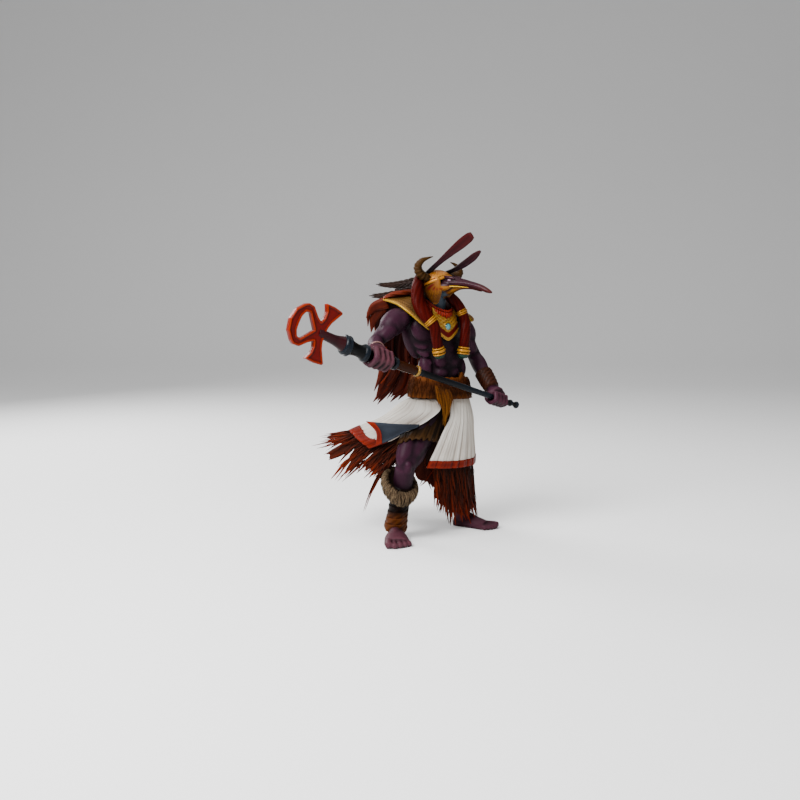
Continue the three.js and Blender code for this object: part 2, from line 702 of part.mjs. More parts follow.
function belt() {
  const heights = [0, 1, 8, 16, 22, 23.5];
  const bulge = [0, 3, 2, 0, -1.4, -3.2];
  const band = skin(heights.length, 24, (row, angle) => {
    if (row === 0) return PELVIS.at(0, 0, heights[0]);
    if (row > heights.length) return PELVIS.at(0, 0, heights[heights.length - 1]);
    const degrees = Math.round(THREE.MathUtils.radToDeg(angle));
    const tab = degrees === TAB_AT ? (5.5 * heights[row - 1]) / 24 : 0;
    return beltPoint(degrees, bulge[row - 1], heights[row - 1] + 2.1 * Math.sin(angle) + tab);
  });
  const tuft = limb(
    [point(37, -47.5, 151), point(42, -52, 139), point(43.5, -56.5, 127), point(40.5, -62, 105)],
    [[5, 2.4], [7.5, 3.2], [6, 2.6], [0.8, 0.8]],
    { sides: 7, rows: 6, front: PELVIS.front },
  );
  return [band, tuft];
}

// Kilt: columns of points from the belt to the hem. The right half is blown up and to the side, and the
// left half hangs. The first and last columns are the two front edges.
const KILT_COLUMNS = [
  [
    beltPoint(32, -1, 4), point(38.6, -56, 127), point(26.7, -63, 116.6), point(8.4, -64, 106.4),
    point(-6, -60, 97.6), point(-29, -48, 87.5),
  ],
  [
    beltPoint(62, -1, 4), point(17, -58, 124), point(4, -55, 113), point(-12, -50, 104),
    point(-27, -45, 98), point(-39, -42, 94),
  ],
  [
    beltPoint(95, -1, 4), point(6, -42, 126), point(-8, -38, 116), point(-20, -33, 109),
    point(-34, -30, 104), point(-47, -32, 100),
  ],
  [
    beltPoint(125, -1, 4), point(-1, -22, 126.5), point(-14, -16, 115), point(-24, -11, 109),
    point(-36, -8, 104), point(-48.5, -14, 99.5),
  ],
  [
    beltPoint(150, -1, 4), point(8, -6, 124), point(-2, 2, 112), point(-13, 7, 103), point(-25, 9, 97),
    point(-37, 9, 93.5),
  ],
  [
    beltPoint(180, -1, 4), point(25, 2, 119), point(19, 11, 104), point(13, 18, 93), point(6, 22, 85),
    point(-3, 25, 79),
  ],
  [
    beltPoint(215, -1, 4), point(45, 6, 118), point(43, 14, 101), point(40, 19, 87), point(36, 22, 77),
    point(32, 24, 68.5),
  ],
  [
    beltPoint(250, -1, 4), point(63, 1, 116), point(65, 8, 100), point(65, 13, 86),
    point(63.5, 17, 76), point(62, 19, 66),
  ],
  [
    beltPoint(280, -1, 4), point(71, -11, 114), point(72, -6, 97), point(73, -2, 84),
    point(73.5, 1, 76), point(73.5, 3, 67),
  ],
  [
    beltPoint(312, -1, 4), point(67.5, -32, 114), point(68.5, -33, 98), point(69, -33, 86),
    point(69, -33, 77), point(68.5, -33, 68),
  ],
  [
    beltPoint(340, -1, 4), point(57, -47, 115), point(54, -51, 99), point(51.5, -52, 87),
    point(49.5, -53, 78), point(47, -53, 69),
  ],
  [
    beltPoint(365, -1, 4), point(47.6, -52, 119.2), point(40.2, -58, 103.5), point(34, -61, 90),
    point(29.5, -62, 80), point(25.5, -62, 71),
  ],
];
const PLEATS = 15;

function kilt() {
  const cloth = surface(KILT_COLUMNS);
  const outward = (p) => p.clone().sub(PELVIS.at(0, 0, 0)).setZ(0).normalize();
  const columns = PLEATS * 2;
  const place = (u, v) => {
    const p = cloth(u, v);
    return p.addScaledVector(outward(p), 0.9 * v * Math.cos(u * PLEATS * TAU));
  };
  const hem = (u, v) => (v > 0.84 ? CLOTH + 1 : CLOTH);
  const turnedBack = surface([
    [point(18.5, -65, 112.8), point(17.5, -65.5, 111.5), point(16, -66, 110)],
    [point(2, -63.5, 112.8), point(3, -65.5, 109.5), point(5, -67, 106)],
    [point(-13, -58, 113), point(-11, -62, 106.5), point(-7.5, -64, 98.5)],
    [point(-32, -50, 113.8), point(-22, -55, 104), point(-22.5, -54, 90.5)],
  ]);
  const border = (u) => (u > 0.85 ? 3.4 : CLOTH);
  return [
    sheet(columns, [0, 0.42, 0.83, 0.85, 1], place, { thickness: hem, smooth: cloth }),
    sheet(7, [0, 0.5, 1], turnedBack, { thickness: border }),
  ];
}

// Ragged under-skirt: it starts inside the kilt, and its hem is drawn out into long locks
const LOCKS = 20;

function underSkirt() {
  const cloth = surface([
    [point(33, -52, 125), point(24, -63, 108), point(2, -65, 88), point(-8, -62, 73), point(-16, -58, 58)],
    [
      point(24, -54, 122), point(10, -60, 106), point(-10, -56, 88), point(-22, -52, 75),
      point(-33, -47, 62),
    ],
    [
      point(16, -54, 119), point(-2, -51, 105), point(-22, -44, 92), point(-42, -40, 76),
      point(-59, -36, 58),
    ],
    [
      point(4, -38, 120), point(-14, -32, 108), point(-34, -28, 98), point(-52, -29, 87),
      point(-71, -30, 76),
    ],
    [
      point(2, -30, 120), point(-14, -22, 109), point(-34, -18, 99), point(-56, -20, 93),
      point(-79, -20, 85.5),
    ],
    [
      point(1, -20, 120), point(-14, -10, 110), point(-35, -8, 99), point(-54, -4, 95),
      point(-75, 0, 90),
    ],
    [point(10, -8, 118), point(-4, 3, 106), point(-21, 8, 93), point(-35, 13, 84), point(-52, 18, 74)],
    [point(24, 1, 116), point(17, 10, 100), point(7, 18, 82), point(-1, 24, 67), point(-10, 30, 50)],
    [point(44, 5, 114), point(41, 13, 96), point(36, 19, 74), point(33, 24, 55), point(30, 28, 34)],
    [point(60, 1, 112), point(61, 8, 94), point(61, 14, 70), point(62, 18, 46), point(64, 22, 20)],
    [point(67, -9, 110), point(69, -3, 92), point(70.5, 1, 68), point(73, 4, 38), point(76, 6, 11)],
    [point(63, -28, 110), point(65, -27, 92), point(65, -26, 68), point(66, -21, 38), point(69, -13, 13)],
    [point(53, -41, 110), point(51, -43, 92), point(49, -43, 70), point(50, -35, 42), point(50, -25, 15)],
    [point(46, -49, 110), point(40, -52, 92), point(33, -52, 72), point(34, -45, 52), point(33, -36, 32)],
  ]);
  const columns = LOCKS * 2;
  const place = (u, v) => cloth(u, ragged(columns, 0.76, u, v));
  const thickness = (u, v) => (v < 1 ? 3 : 1.6);
  const longLock = [point(-8, -60, 80), point(-20, -57, 62), point(-29, -53, 43), point(-35, -50, 25)];
  return [
    sheet(columns, [0, 0.3, 0.6, 0.8, 1], place, { thickness, smooth: cloth }),
    tongue(longLock, 5, point(0, -1, 0), { rows: 4 }),
  ];
}

// The loin cloth that closes the front of the hips
function loinCloth() {
  const cloth = surface([
    [point(14, -44, 114), point(6, -55, 102), point(0, -64, 89)],
    [point(22, -50, 131), point(18, -58.5, 111), point(14, -66, 87)],
    [point(38, -49, 131), point(32, -60, 112), point(27, -64, 87)],
    [point(52, -43, 131), point(46, -54, 112), point(38, -58, 80)],
    [point(62, -34, 131), point(58, -44, 112), point(50, -50, 92)],
  ]);
  return sheet(6, [0, 0.33, 0.66, 1], cloth);
}

// Right shin: a fur cuff, and leather wraps down to the ankle
function shinWraps() {
  const axis = ANKLE_R.clone().sub(KNEE_R).normalize();
  const on = (t) => between(KNEE_R, ANKLE_R, t);
  const ahead = PELVIS.front;
  const wraps = limb([on(0.3), on(0.5), on(0.68), on(0.86), on(1.05)], [11.3, 10.4, 9.6, 10.2, 11.4], {
    sides: 9,
    rows: 9,
    front: ahead,
    wave: (t) => 1 + 0.04 * Math.cos(t * TAU * 4),
  });
  const locks = 12;
  const across = axis.clone().cross(ahead).normalize();
  const forward = across.clone().cross(axis).normalize();
  const rings = [
    [17.5, 0, 0, 0],
    [15.6, 12.6, 0, 0],
    [15.6, 15, 0, 0],
    [19, 17.2, 0, 0.3],
    [24, 16.4, 0.6, 0.8],
    [28.5, 13.2, 1.4, 0.7],
    [26, 0, 0, 0],
  ];
  const cuff = skin(rings.length - 2, locks * 2, (row, angle) => {
    const [down, out, longer, wider] = rings[row];
    const lock = Math.cos(angle * locks);
    const tilt = out ? 6 * Math.sin(angle) : 0;
    const reach = out + wider * lock;
    return KNEE_R.clone()
      .add(point(-2.5, 0, 0))
      .addScaledVector(axis, down + longer * lock + tilt)
      .addScaledVector(across, Math.cos(angle) * reach)
      .addScaledVector(forward, Math.sin(angle) * reach);
  });
  return [wraps, cuff];
}

function bracer() {
  const on = (t) => between(ELBOW_L, WRIST_L, t);
  return limb([on(0.58), on(0.84), on(1.1)], [8.4, 8.2, 7.4], {
    sides: 9,
    rows: 7,
    front: CHEST.front,
    wave: (t) => 1 + 0.05 * Math.cos(t * TAU * 3),
  });
}

function bangle() {
  const on = (t) => between(ELBOW_R, WRIST_R, t);
  return limb([on(0.78), on(0.86)], [7.4, 7.4], { sides: 9, rows: 2, front: point(0, 0, 1), cap: 0.1 });
}

// Staff, turned along its own axis from rings of given radius, with the ankh at its head
const STAFF_CROSS = point(0, 0, 1).addScaledVector(STAFF_AXIS, -STAFF_AXIS.z).normalize();
const STAFF_SIDE = STAFF_AXIS.clone().cross(STAFF_CROSS);

function onStaff(along) {
  const beyond = THREE.MathUtils.clamp((along - 14) / (ANKH_ALONG - 14), 0, 2);
  return FIST_R.clone()
    .addScaledVector(STAFF_AXIS, along)
    .addScaledVector(STAFF_CROSS, ANKH_LIFT * beyond ** 1.5);
}

function turned(rings, sides = 8) {
  return skin(rings.length, sides, (row, angle) => {
    const [along, radius] = rings[THREE.MathUtils.clamp(row - 1, 0, rings.length - 1)];
    const inside = row === 0 || row > rings.length ? 0 : radius;
    return onStaff(along)
      .addScaledVector(STAFF_CROSS, Math.cos(angle) * inside)
      .addScaledVector(STAFF_SIDE, Math.sin(angle) * inside);
  });
}

function staff() {
  const rings = [
    [ANKH_ALONG + 1, 3.2],
    [ANKH_ALONG - 4, 4.2],
    [50, 4.6],
    [45, 5.6],
    [41, 6.8],
    [40, 8.8],
    [35, 9.4],
    [33.4, 7.2],
    [25, 5.5],
    [19.4, 6.5],
    [18.3, 8],
    [14.9, 8],
    [14.4, GRIP_RADIUS],
    [-13.8, GRIP_RADIUS],
    [-14.3, 5.8],
    [-18, 5.8],
    [-18.5, 4.2],
    [-40, 4.2],
    [-40.5, 5],
    [-43, 5],
    [-43.5, SHAFT_RADIUS + 0.5],
    [-FIST_SPAN + 15, SHAFT_RADIUS],
    [-FIST_SPAN - 14, SHAFT_RADIUS - 0.3],
    [-FIST_SPAN - 14.5, 3.2],
    [-FIST_SPAN - 17, 3.2],
    [-FIST_SPAN - 17.5, 2],
    [-FIST_SPAN - 21, 2],
    [-FIST_SPAN - 23, 3.2],
    [-FIST_SPAN - 26, 2],
  ];
  return join([turned(rings), ankh()]).asOriginal().simplify(STAFF_DETAIL);
}

// The ankh is a flat bevelled plate with a raised rim round a sunken middle. Its outline is drawn with x
// along the staff and y across it, clockwise, and its hole the other way round.
const ANKH_HALF = [
  [-13.5, 23],
  [-12.6, 24.6],
  [-4.5, 25.8],
  [4.6, 25.4],
  [1.6, 19],
  [1.4, 13],
  [3, 9],
  [7.5, 12],
  [14, 18.4],
  [19.5, 18.9],
  [23, 16.8],
  [28.8, 9.8],
  [31, 0],
];
const ANKH_FOOT = [
  [-5.2, 4.2],
  [-5.6, 7],
  [-7.2, 12],
];
const ANKH_HOLE = [
  [15.6, 11.6],
  [19.2, 11],
  [21.4, 6.4],
  [21.8, 0],
];
const ANKH_BEVEL = 1.1;
const RIM_WIDTH = 1.4;
const RIM_HEIGHT = 0.9;

function mirrored(points) {
  const below = points.map(([x, y]) => [x, -y]).reverse();
  return below.filter(([, y]) => y !== 0);
}

function ankhPlate(thickness, bevel, inset) {
  const outline = [...ANKH_HALF, ...mirrored(ANKH_HALF), ...mirrored(ANKH_FOOT), ...ANKH_FOOT];
  const shape = new THREE.Shape(outline.map(([x, y]) => new THREE.Vector2(x, y)));
  const hole = [[6.4, 0], ...ANKH_HOLE, ...mirrored(ANKH_HOLE)].reverse();
  shape.holes.push(new THREE.Path(hole.map(([x, y]) => new THREE.Vector2(x, y))));
  const plate = new THREE.ExtrudeGeometry(shape, {
    depth: thickness - 2 * bevel,
    bevelThickness: bevel,
    bevelSize: bevel,
    bevelOffset: -bevel - inset,
    bevelSegments: 1,
  });
  return plate.translate(0, 0, bevel - thickness / 2);
}

function ankh() {
  const tilted = onStaff(ANKH_ALONG + 6).sub(onStaff(ANKH_ALONG - 6)).normalize();
  const across = STAFF_SIDE.clone().cross(tilted).normalize();
  const stand = new THREE.Matrix4().makeBasis(tilted, across, STAFF_SIDE).setPosition(onStaff(ANKH_ALONG));
  const placed = (geometry) => solidOf(geometry.applyMatrix4(stand));
  const sharp = 0.05;
  const sunk = ankhPlate(2 * RIM_HEIGHT, sharp, RIM_WIDTH);
  const sunkAt = ANKH_THICKNESS / 2;
  return placed(ankhPlate(ANKH_THICKNESS, ANKH_BEVEL, 0))
    .subtract(placed(sunk.clone().translate(0, 0, sunkAt)))
    .subtract(placed(sunk.clone().translate(0, 0, -sunkAt)));
}

// The figure, joined into one body, cut flat at the floor and bored for the staff and the stone
function figure() {
  const body = join([
    ...torso(),
    ...arm(SHOULDER_R, ELBOW_R, WRIST_R, 1),
    ...arm(SHOULDER_L, ELBOW_L, WRIST_L, -1),
    ...fist(FIST_R, WRIST_R, 1.05, GRIP_RADIUS),
    ...fist(FIST_L, WRIST_L, 0.85, SHAFT_RADIUS),
    ...leg(HIP_R, KNEE_R, ANKLE_R, 1, true),
    ...leg(HIP_L, KNEE_L, ANKLE_L, -1, false),
    ...foot(HEEL_R, TOE_R, ANKLE_R, 1, 1.35),
    ...foot(HEEL_L, TOE_L, ANKLE_L, -1),
    ...head(),
    ...headdress(),
    ...collar(),
    ...cape(),
    ...belt(),
    ...kilt(),
    ...underSkirt(),
    loinCloth(),
    ...shinWraps(),
    bracer(),
    bangle(),
  ]);
  const below = new THREE.BoxGeometry(600, 600, 60).translate(0, 0, FLOOR - 30);
  const bore = (from, to, radius) =>
    turned(
      [
        [from, radius + FIT_GAP],
        [to, radius + FIT_GAP],
      ],
      12,
    );
  const bored = body
    .asOriginal()
    .simplify(DETAIL)
    .subtract(solidOf(below))
    .subtract(bore(16, -17, GRIP_RADIUS + 0.1))
    .subtract(bore(-FIST_SPAN + 15, -FIST_SPAN - 13.5, SHAFT_RADIUS + 0.2))
    .subtract(stoneSolid(FIT_GAP));
  return solidBody(bored).asOriginal().simplify(FINE_DETAIL);
}

// Materials
const paint = (color, roughness) => new THREE.MeshStandardMaterial({ color, roughness, metalness: 0 });
const SKIN = paint(0x3a2636, 0.5);
const ENAMEL = paint(0x8f1c0c, 0.35);
const STONE = paint(0x58b7c0, 0.1);

function named(name, solid, material) {
  const mesh = new THREE.Mesh(geometryOf(solid), material);
  mesh.name = name;
  return mesh;
}

const statue = new THREE.Group();
statue.add(
  named("figure", figure(), SKIN),
  named("staff", staff(), ENAMEL),
  named("collar_stone", stoneSolid(), STONE),
);

// The origin is moved to the middle of the bottom of the whole statue.
const extent = new THREE.Box3().setFromObject(statue);
const middle = extent.getCenter(point(0, 0, 0));
statue.position.set(-middle.x, -middle.y, -extent.min.z);

export default statue;
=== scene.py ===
"""The finish of a painted cast statue: a standing animal-headed Egyptian god with an ankh-headed staff.

Pieces are modelled in millimetres in the stance frame, where the floor is at height 0, and are moved to the
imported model's frame, in metres, when they are finished.
"""
import json
import math
import random

import bpy
import numpy as np
from bpy.props import FloatProperty, FloatVectorProperty
from mathutils import Matrix, Vector


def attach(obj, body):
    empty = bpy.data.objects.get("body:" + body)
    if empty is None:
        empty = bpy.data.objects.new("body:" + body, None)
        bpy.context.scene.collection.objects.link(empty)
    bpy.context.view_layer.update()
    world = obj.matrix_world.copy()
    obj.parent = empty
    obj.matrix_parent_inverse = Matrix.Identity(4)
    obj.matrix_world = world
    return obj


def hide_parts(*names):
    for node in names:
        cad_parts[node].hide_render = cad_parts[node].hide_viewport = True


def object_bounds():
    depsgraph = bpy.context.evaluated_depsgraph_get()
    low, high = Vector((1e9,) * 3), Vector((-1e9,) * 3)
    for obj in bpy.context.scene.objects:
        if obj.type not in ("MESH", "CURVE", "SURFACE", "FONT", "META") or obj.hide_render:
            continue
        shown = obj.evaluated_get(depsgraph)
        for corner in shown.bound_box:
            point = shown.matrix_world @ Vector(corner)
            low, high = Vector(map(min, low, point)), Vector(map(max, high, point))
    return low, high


bl_info = {
    "name": "Seth statue",
    "version": (1, 0, 0),
    "blender": (4, 5, 0),
    "location": "3D View > Sidebar > Statue",
    "description": "Models and paints a small cast statue around its packed solids",
    "category": "Add Mesh",
}

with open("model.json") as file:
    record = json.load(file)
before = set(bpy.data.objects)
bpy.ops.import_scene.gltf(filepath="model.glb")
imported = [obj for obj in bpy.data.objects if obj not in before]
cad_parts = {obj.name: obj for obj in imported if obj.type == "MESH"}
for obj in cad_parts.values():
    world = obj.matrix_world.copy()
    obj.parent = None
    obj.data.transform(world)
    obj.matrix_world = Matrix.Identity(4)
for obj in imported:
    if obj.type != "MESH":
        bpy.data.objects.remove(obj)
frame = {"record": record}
CAD_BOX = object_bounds()

MM = 0.001
TAU = math.tau
UP = Vector((0, 0, 1))
FORWARD = Vector((0, -1, 0))


# Vectors, curves and body frames

def at(x, y, z):
    return Vector((x, y, z))


class BodyFrame:
    """Gives a place from its distances to the figure's right, to its front and upwards."""

    def __init__(self, origin, degrees):
        turn = math.radians(degrees)
        self.origin = origin
        self.right = at(-math.cos(turn), -math.sin(turn), 0)
        self.front = at(math.sin(turn), -math.cos(turn), 0)

    def __call__(self, right, front, up):
        return self.origin + self.right * right + self.front * front + UP * up

    def measure(self, places):
        """The three distances of an array of places."""
        local = places - np.array(self.origin)
        return local @ np.array(self.right), local @ np.array(self.front), local[:, 2]


def clamp(value, low=0.0, high=1.0):
    return max(low, min(high, value))


def mixed(a, b, t):
    return a + (b - a) * t


def smooth(value):
    t = clamp(value)
    return t * t * (3 - 2 * t)


def spline(points, t):
    """A place on the smooth curve through the points, with t from 0 to 1."""
    last = len(points) - 1
    place = clamp(t) * last
    i = min(int(place), last - 1)
    w = place - i
    p1 = points[i]
    p2 = points[i + 1]
    p0 = points[i - 1] if i > 0 else p1 * 2 - p2
    p3 = points[i + 2] if i + 2 <= last else p2 * 2 - p1
    d0, d1, d2 = (max((b - a).length ** 0.5, 1e-4) for a, b in ((p0, p1), (p1, p2), (p2, p3)))
    m1 = ((p1 - p0) / d0 - (p2 - p0) / (d0 + d1) + (p2 - p1) / d1) * d1
    m2 = ((p2 - p1) / d1 - (p3 - p1) / (d1 + d2) + (p3 - p2) / d2) * d1
    square = (p2 - p1) * 3 - m1 * 2 - m2
    cube = (p1 - p2) * 2 + m1 + m2
    return p1 + m1 * w + square * w ** 2 + cube * w ** 3


def heading(points, t, step=0.01):
    return (spline(points, min(t + step, 1)) - spline(points, max(t - step, 0))).normalized()


def surface(columns):
    """The smooth surface through columns of points: u runs across the columns and v down each of them."""
    columns = [[Vector(spot) for spot in column] for column in columns]
    rows = {}

    def place(u, v):
        key = round(v, 6)
        if key not in rows:
            rows[key] = [spline(column, v) for column in columns]
        return spline(rows[key], u)

    return place


def facing(place, u, v, step=0.01):
    """The direction that a surface faces at u, v."""
    along_u = place(min(u + step, 1), v) - place(max(u - step, 0), v)
    along_v = place(u, min(v + step, 1)) - place(u, max(v - step, 0))
    return along_u.cross(along_v).normalized()


def inside(value):
    """Keeps a u or v off the surface's border, where its facing isn't sure."""
    return clamp(value, 0.02, 0.98)


def waved(cloth, down, wave):
    """The cloth, cut at v = down(u, v), with waves that grow towards its hem."""
    def place(u, v):
        reach = down(u, v)
        return cloth(u, reach) + facing(cloth, inside(u), inside(reach)) * (wave(u, v) * v)

    return place


# The figure's stance

CHEST_TURN = 35
HEAD_TURN = 52
PELVIS = BodyFrame(at(41.5, -26.5, 131), CHEST_TURN)
WAIST = BodyFrame(at(41, -25, 157), CHEST_TURN)
CHEST = BodyFrame(at(32, -25, 199), CHEST_TURN)
HEAD = BodyFrame(at(34, -38, 244.5), HEAD_TURN)
SHOULDER_R = at(2, -43, 212)
ELBOW_R = at(-23, -67, 190)
WRIST_R = at(-20.5, -95, 184)
FIST_R = at(-17.7, -108, 178.3)
SHOULDER_L = at(57, -5, 205)
ELBOW_L = at(74.5, 1, 171)
WRIST_L = at(87.5, -25, 146)
FIST_L = at(94.4, -36, 133.6)
HIP_R = at(29, -36, 122)
KNEE_R = at(5, -72, 74)
ANKLE_R = at(-4, -50, 13)
HIP_L = at(52, -19, 122)
KNEE_L = at(61, -18, 69)
ANKLE_L = at(62, -1, 12)
HEEL_R = at(-5, -42, 3)
TOE_R = at(-1, -90, 2.5)
HEEL_L = at(56, 4, 3)
TOE_L = at(94, -18, 2.5)

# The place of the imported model's right_sole mount in the stance frame, which gives the shift between the two
RIGHT_SOLE = at(-2, -61.8, 0)

STAFF_AXIS = (FIST_R - FIST_L).normalized()
FIST_SPAN = (FIST_R - FIST_L).length
SHAFT_RADIUS = 2.6
GRIP_RADIUS = 4.2
ANKH_ALONG = 65.5
ANKH_LIFT = 4
ANKH_THICKNESS = 6.4
ANKH_BEVEL = 1.3
ANKH_RIM = 1.3
ANKH_SUNK = 0.9
STAFF_CROSS = (UP - STAFF_AXIS * STAFF_AXIS.z).normalized()
STAFF_SIDE = STAFF_AXIS.cross(STAFF_CROSS)


def shift_to_frame():
    mounts = {mount["name"]: mount for mount in frame["record"]["mounts"]}
    return Vector(mounts["right_sole"]["pos_m"]) - RIGHT_SOLE * MM


TO_FRAME = Matrix.Translation(shift_to_frame()) @ Matrix.Scale(MM, 4)


# Modelling tools

def deselect_all():
    bpy.ops.object.select_all(action="DESELECT")


def select_only(objects):
    deselect_all()
    for piece in objects:
        piece.select_set(True)
    bpy.context.view_layer.objects.active = objects[0]


def loft(name, place, rings, sides):
    """A closed skin: a sphere primitive whose rings move to where place(row, angle) puts them.
    Rows 0 and rings + 1 are the poles."""
    deselect_all()
    bpy.ops.mesh.primitive_uv_sphere_add(segments=sides, ring_count=rings + 1, radius=1)
    made = bpy.context.object
    made.name = name
    for vertex in made.data.vertices:
        polar = math.acos(clamp(vertex.co.z, -1, 1))
        row = round(polar / math.pi * (rings + 1))
        vertex.co = place(row, math.atan2(vertex.co.y, vertex.co.x))
    return made


def limb(line, sizes, front=FORWARD, sides=20, rings=16, cap=0.5, wave=None, name="limb"):
    """A limb along a smooth line. A size is a half width, or the half widths across and towards the front."""
    halves = [Vector((s[0], s[1], 0)) if isinstance(s, tuple) else Vector((s, s, 0)) for s in sizes]
    stations = []
    for row in range(rings + 2):
        t = clamp((row - 1) / (rings - 1))
        along = heading(line, t)
        across = along.cross(front).normalized()
        size = spline(halves, t)
        centre = spline(line, t)
        end = cap * min(size.x, size.y)
        if row == 0:
            centre = centre - along * end
        if row == rings + 1:
            centre = centre + along * end
        stations.append((t, centre, across * size.x, across.cross(along).normalized() * size.y))

    def place(row, angle):
        t, centre, across, ahead = stations[row]
        if row in (0, rings + 1):
            return centre
        grown = wave(t, angle) if wave else 1
        return centre + (across * math.cos(angle) + ahead * math.sin(angle)) * grown

    return loft(name, place, rings, sides)


def muscle(start, end, radius, flat=1.0, front=FORWARD, sides=14, rings=9):
    """A spindle, thickest in its middle."""
    along = (end - start).normalized()
    across = along.cross(front).normalized()
    ahead = across.cross(along).normalized() * flat

    def place(row, angle):
        polar = row / (rings + 1) * math.pi
        centre = start.lerp(end, (1 - math.cos(polar)) / 2)
        reach = math.sin(polar) * radius
        return centre + (across * math.cos(angle) + ahead * math.sin(angle)) * reach

    return loft("muscle", place, rings, sides)


def ball(centre, frame_at, radii, sides=24, rings=15):
    """An egg with its half widths to the right, to the front and upwards."""
    right, front, up = radii

    def place(row, angle):
        polar = row / (rings + 1) * math.pi
        ring = math.sin(polar)
        offset = frame_at.right * (math.cos(angle) * ring * right)
        offset += frame_at.front * (math.sin(angle) * ring * front)
        return centre + offset + UP * (math.cos(polar) * up)

    return loft("ball", place, rings, sides)


def turned(name, rings):
    """A piece of the staff, turned from rings of (distance along the staff, radius)."""
    def place(row, angle):
        along, radius = rings[int(clamp(row - 1, 0, len(rings) - 1))]
        reach = 0 if row in (0, len(rings) + 1) else radius
        return on_staff(along) + (STAFF_CROSS * math.cos(angle) + STAFF_SIDE * math.sin(angle)) * reach

    return loft(name, place, len(rings), 32)


def on_staff(along):
    beyond = clamp((along - 14) / (ANKH_ALONG - 14), 0, 2)
    return FIST_R + STAFF_AXIS * along + STAFF_CROSS * (ANKH_LIFT * beyond ** 1.5)


def sheet(name, place, columns, rows, thickness):
    """A sheet of cloth or metal over place(u, v), made from a grid primitive and given its thickness."""
    deselect_all()
    bpy.ops.mesh.primitive_grid_add(x_subdivisions=columns, y_subdivisions=rows, size=1)
    made = bpy.context.object
    made.name = name
    for vertex in made.data.vertices:
        vertex.co = place(vertex.co.x + 0.5, 0.5 - vertex.co.y)
    apply_modifier(made, "SOLIDIFY", thickness=thickness, offset=0, use_even_offset=False)
    return made


def hoop(path, tube, sides):
    """A closed ring along path(angle), from a torus primitive. The tube's half widths are out and along."""
    deselect_all()
    bpy.ops.mesh.primitive_torus_add(
        major_segments=sides, minor_segments=12, major_radius=1, minor_radius=0.1
    )
    made = bpy.context.object
    middle = sum((path(TAU * i / 8) for i in range(8)), Vector()) / 8
    for vertex in made.data.vertices:
        angle = math.atan2(vertex.co.y, vertex.co.x)
        centre = path(angle)
        along = (path(angle + 0.02) - path(angle - 0.02)).normalized()
        out = centre - middle
        out = (out - along * out.dot(along)).normalized()
        away = (math.hypot(vertex.co.x, vertex.co.y) - 1) * 10
        vertex.co = centre + out * (away * tube[0]) + along.cross(out) * (vertex.co.z * 10 * tube[1])
    return made


def ring_band(centre, axis, front, radii, tube, sides=40):
    """An oval ring round an axis, with its half widths across and to the front."""
    across = axis.cross(front).normalized()
    ahead = across.cross(axis).normalized()

    def path(angle):
        return centre + across * (math.cos(angle) * radii[0]) + ahead * (math.sin(angle) * radii[1])

    return hoop(path, tube, sides)


def apply_modifier(piece, kind, **settings):
    select_only([piece])
    modifier = piece.modifiers.new(kind.title(), kind)
    for key, value in settings.items():
        setattr(modifier, key, value)
    bpy.ops.object.modifier_apply(modifier=modifier.name)


def join(name, pieces):
    select_only(pieces)
    if len(pieces) > 1:
        bpy.ops.object.join()
    joined = bpy.context.view_layer.objects.active
    joined.name = name
    joined.data.name = name
    return joined


def face_outwards(piece):
    select_only([piece])
    bpy.ops.object.mode_set(mode="EDIT")
    bpy.ops.mesh.select_all(action="SELECT")
    bpy.ops.mesh.normals_make_consistent(inside=False)
    bpy.ops.object.mode_set(mode="OBJECT")


def fuse(name, pieces, voxel, broad, fine=3, keep_crisp=None):
    """Joins closed pieces into one even skin, and softens the creases where they meet: broadly at first,
    except where keep_crisp says, and then finely all over."""
    fused = join(name, pieces)
    face_outwards(fused)
    apply_modifier(fused, "REMESH", mode="VOXEL", voxel_size=voxel, use_smooth_shade=True)
    if broad:
        group = fused.vertex_groups.new(name="broad")
        places = fused.data.vertices
        soft = [v.index for v in places if not (keep_crisp and keep_crisp(v.co))]
        group.add(soft, 1.0, "REPLACE")
        apply_modifier(fused, "SMOOTH", factor=0.5, iterations=broad, vertex_group="broad")
        fused.vertex_groups.clear()
    apply_modifier(fused, "SMOOTH", factor=0.5, iterations=fine)
    return fused


def mesh_array(items, key, width, kind=float):
    values = np.empty(len(items) * width, kind)
    items.foreach_get(key, values)
    return values.reshape(-1, width)


def places_of(piece):
    return mesh_array(piece.data.vertices, "co", 3)


def paint_relief(piece, depth, passes):
    """Stores in the attribute relief how far a point stands out of what is round it: 0.5 is level. The paint
    turns it into painted shade in the hollows and a painted highlight on the ridges.
    """
    mesh = piece.data
    places = places_of(piece)
    normals = mesh_array(mesh.vertices, "normal", 3)
    edges = mesh_array(mesh.edges, "vertices", 2, np.int32)
    count = len(places)
    ends = np.concatenate([edges[:, 0], edges[:, 1]])
    others = np.concatenate([edges[:, 1], edges[:, 0]])
    shares = np.maximum(np.bincount(ends, minlength=count), 1)[:, None]
    blurred = places
    for _ in range(passes):
        sums = [np.bincount(ends, blurred[others, k], count) for k in range(3)]
        blurred = np.stack(sums, 1) / shares
    height = ((places - blurred) * normals).sum(1)
    store(piece, "relief", np.clip(0.5 + height / (2 * depth), 0, 1))


def finish(piece, material, replaced="figure", depth=0.5, passes=14, outwards=False):
    """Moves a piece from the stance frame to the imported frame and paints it. With outwards, the faces of its
    limbs and rings are first turned to face out."""
    if outwards:
        face_outwards(piece)
    paint_relief(piece, depth, passes)
    piece.data.transform(TO_FRAME)
    select_only([piece])
    bpy.ops.object.shade_smooth()
    piece.data.materials.clear()
    piece.data.materials.append(material)
    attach(piece, "root")
    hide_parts(replaced)


def store(piece, name, values):
    """Keeps a number for each point of a piece, for its paint to read."""
    attribute = piece.data.attributes.new(name, "FLOAT", "POINT")
    attribute.data.foreach_set("value", np.asarray(values, np.float32))


# Painted shade: darker paint where pieces close in on each other and less light falls

SHADE_CELL = 2.0
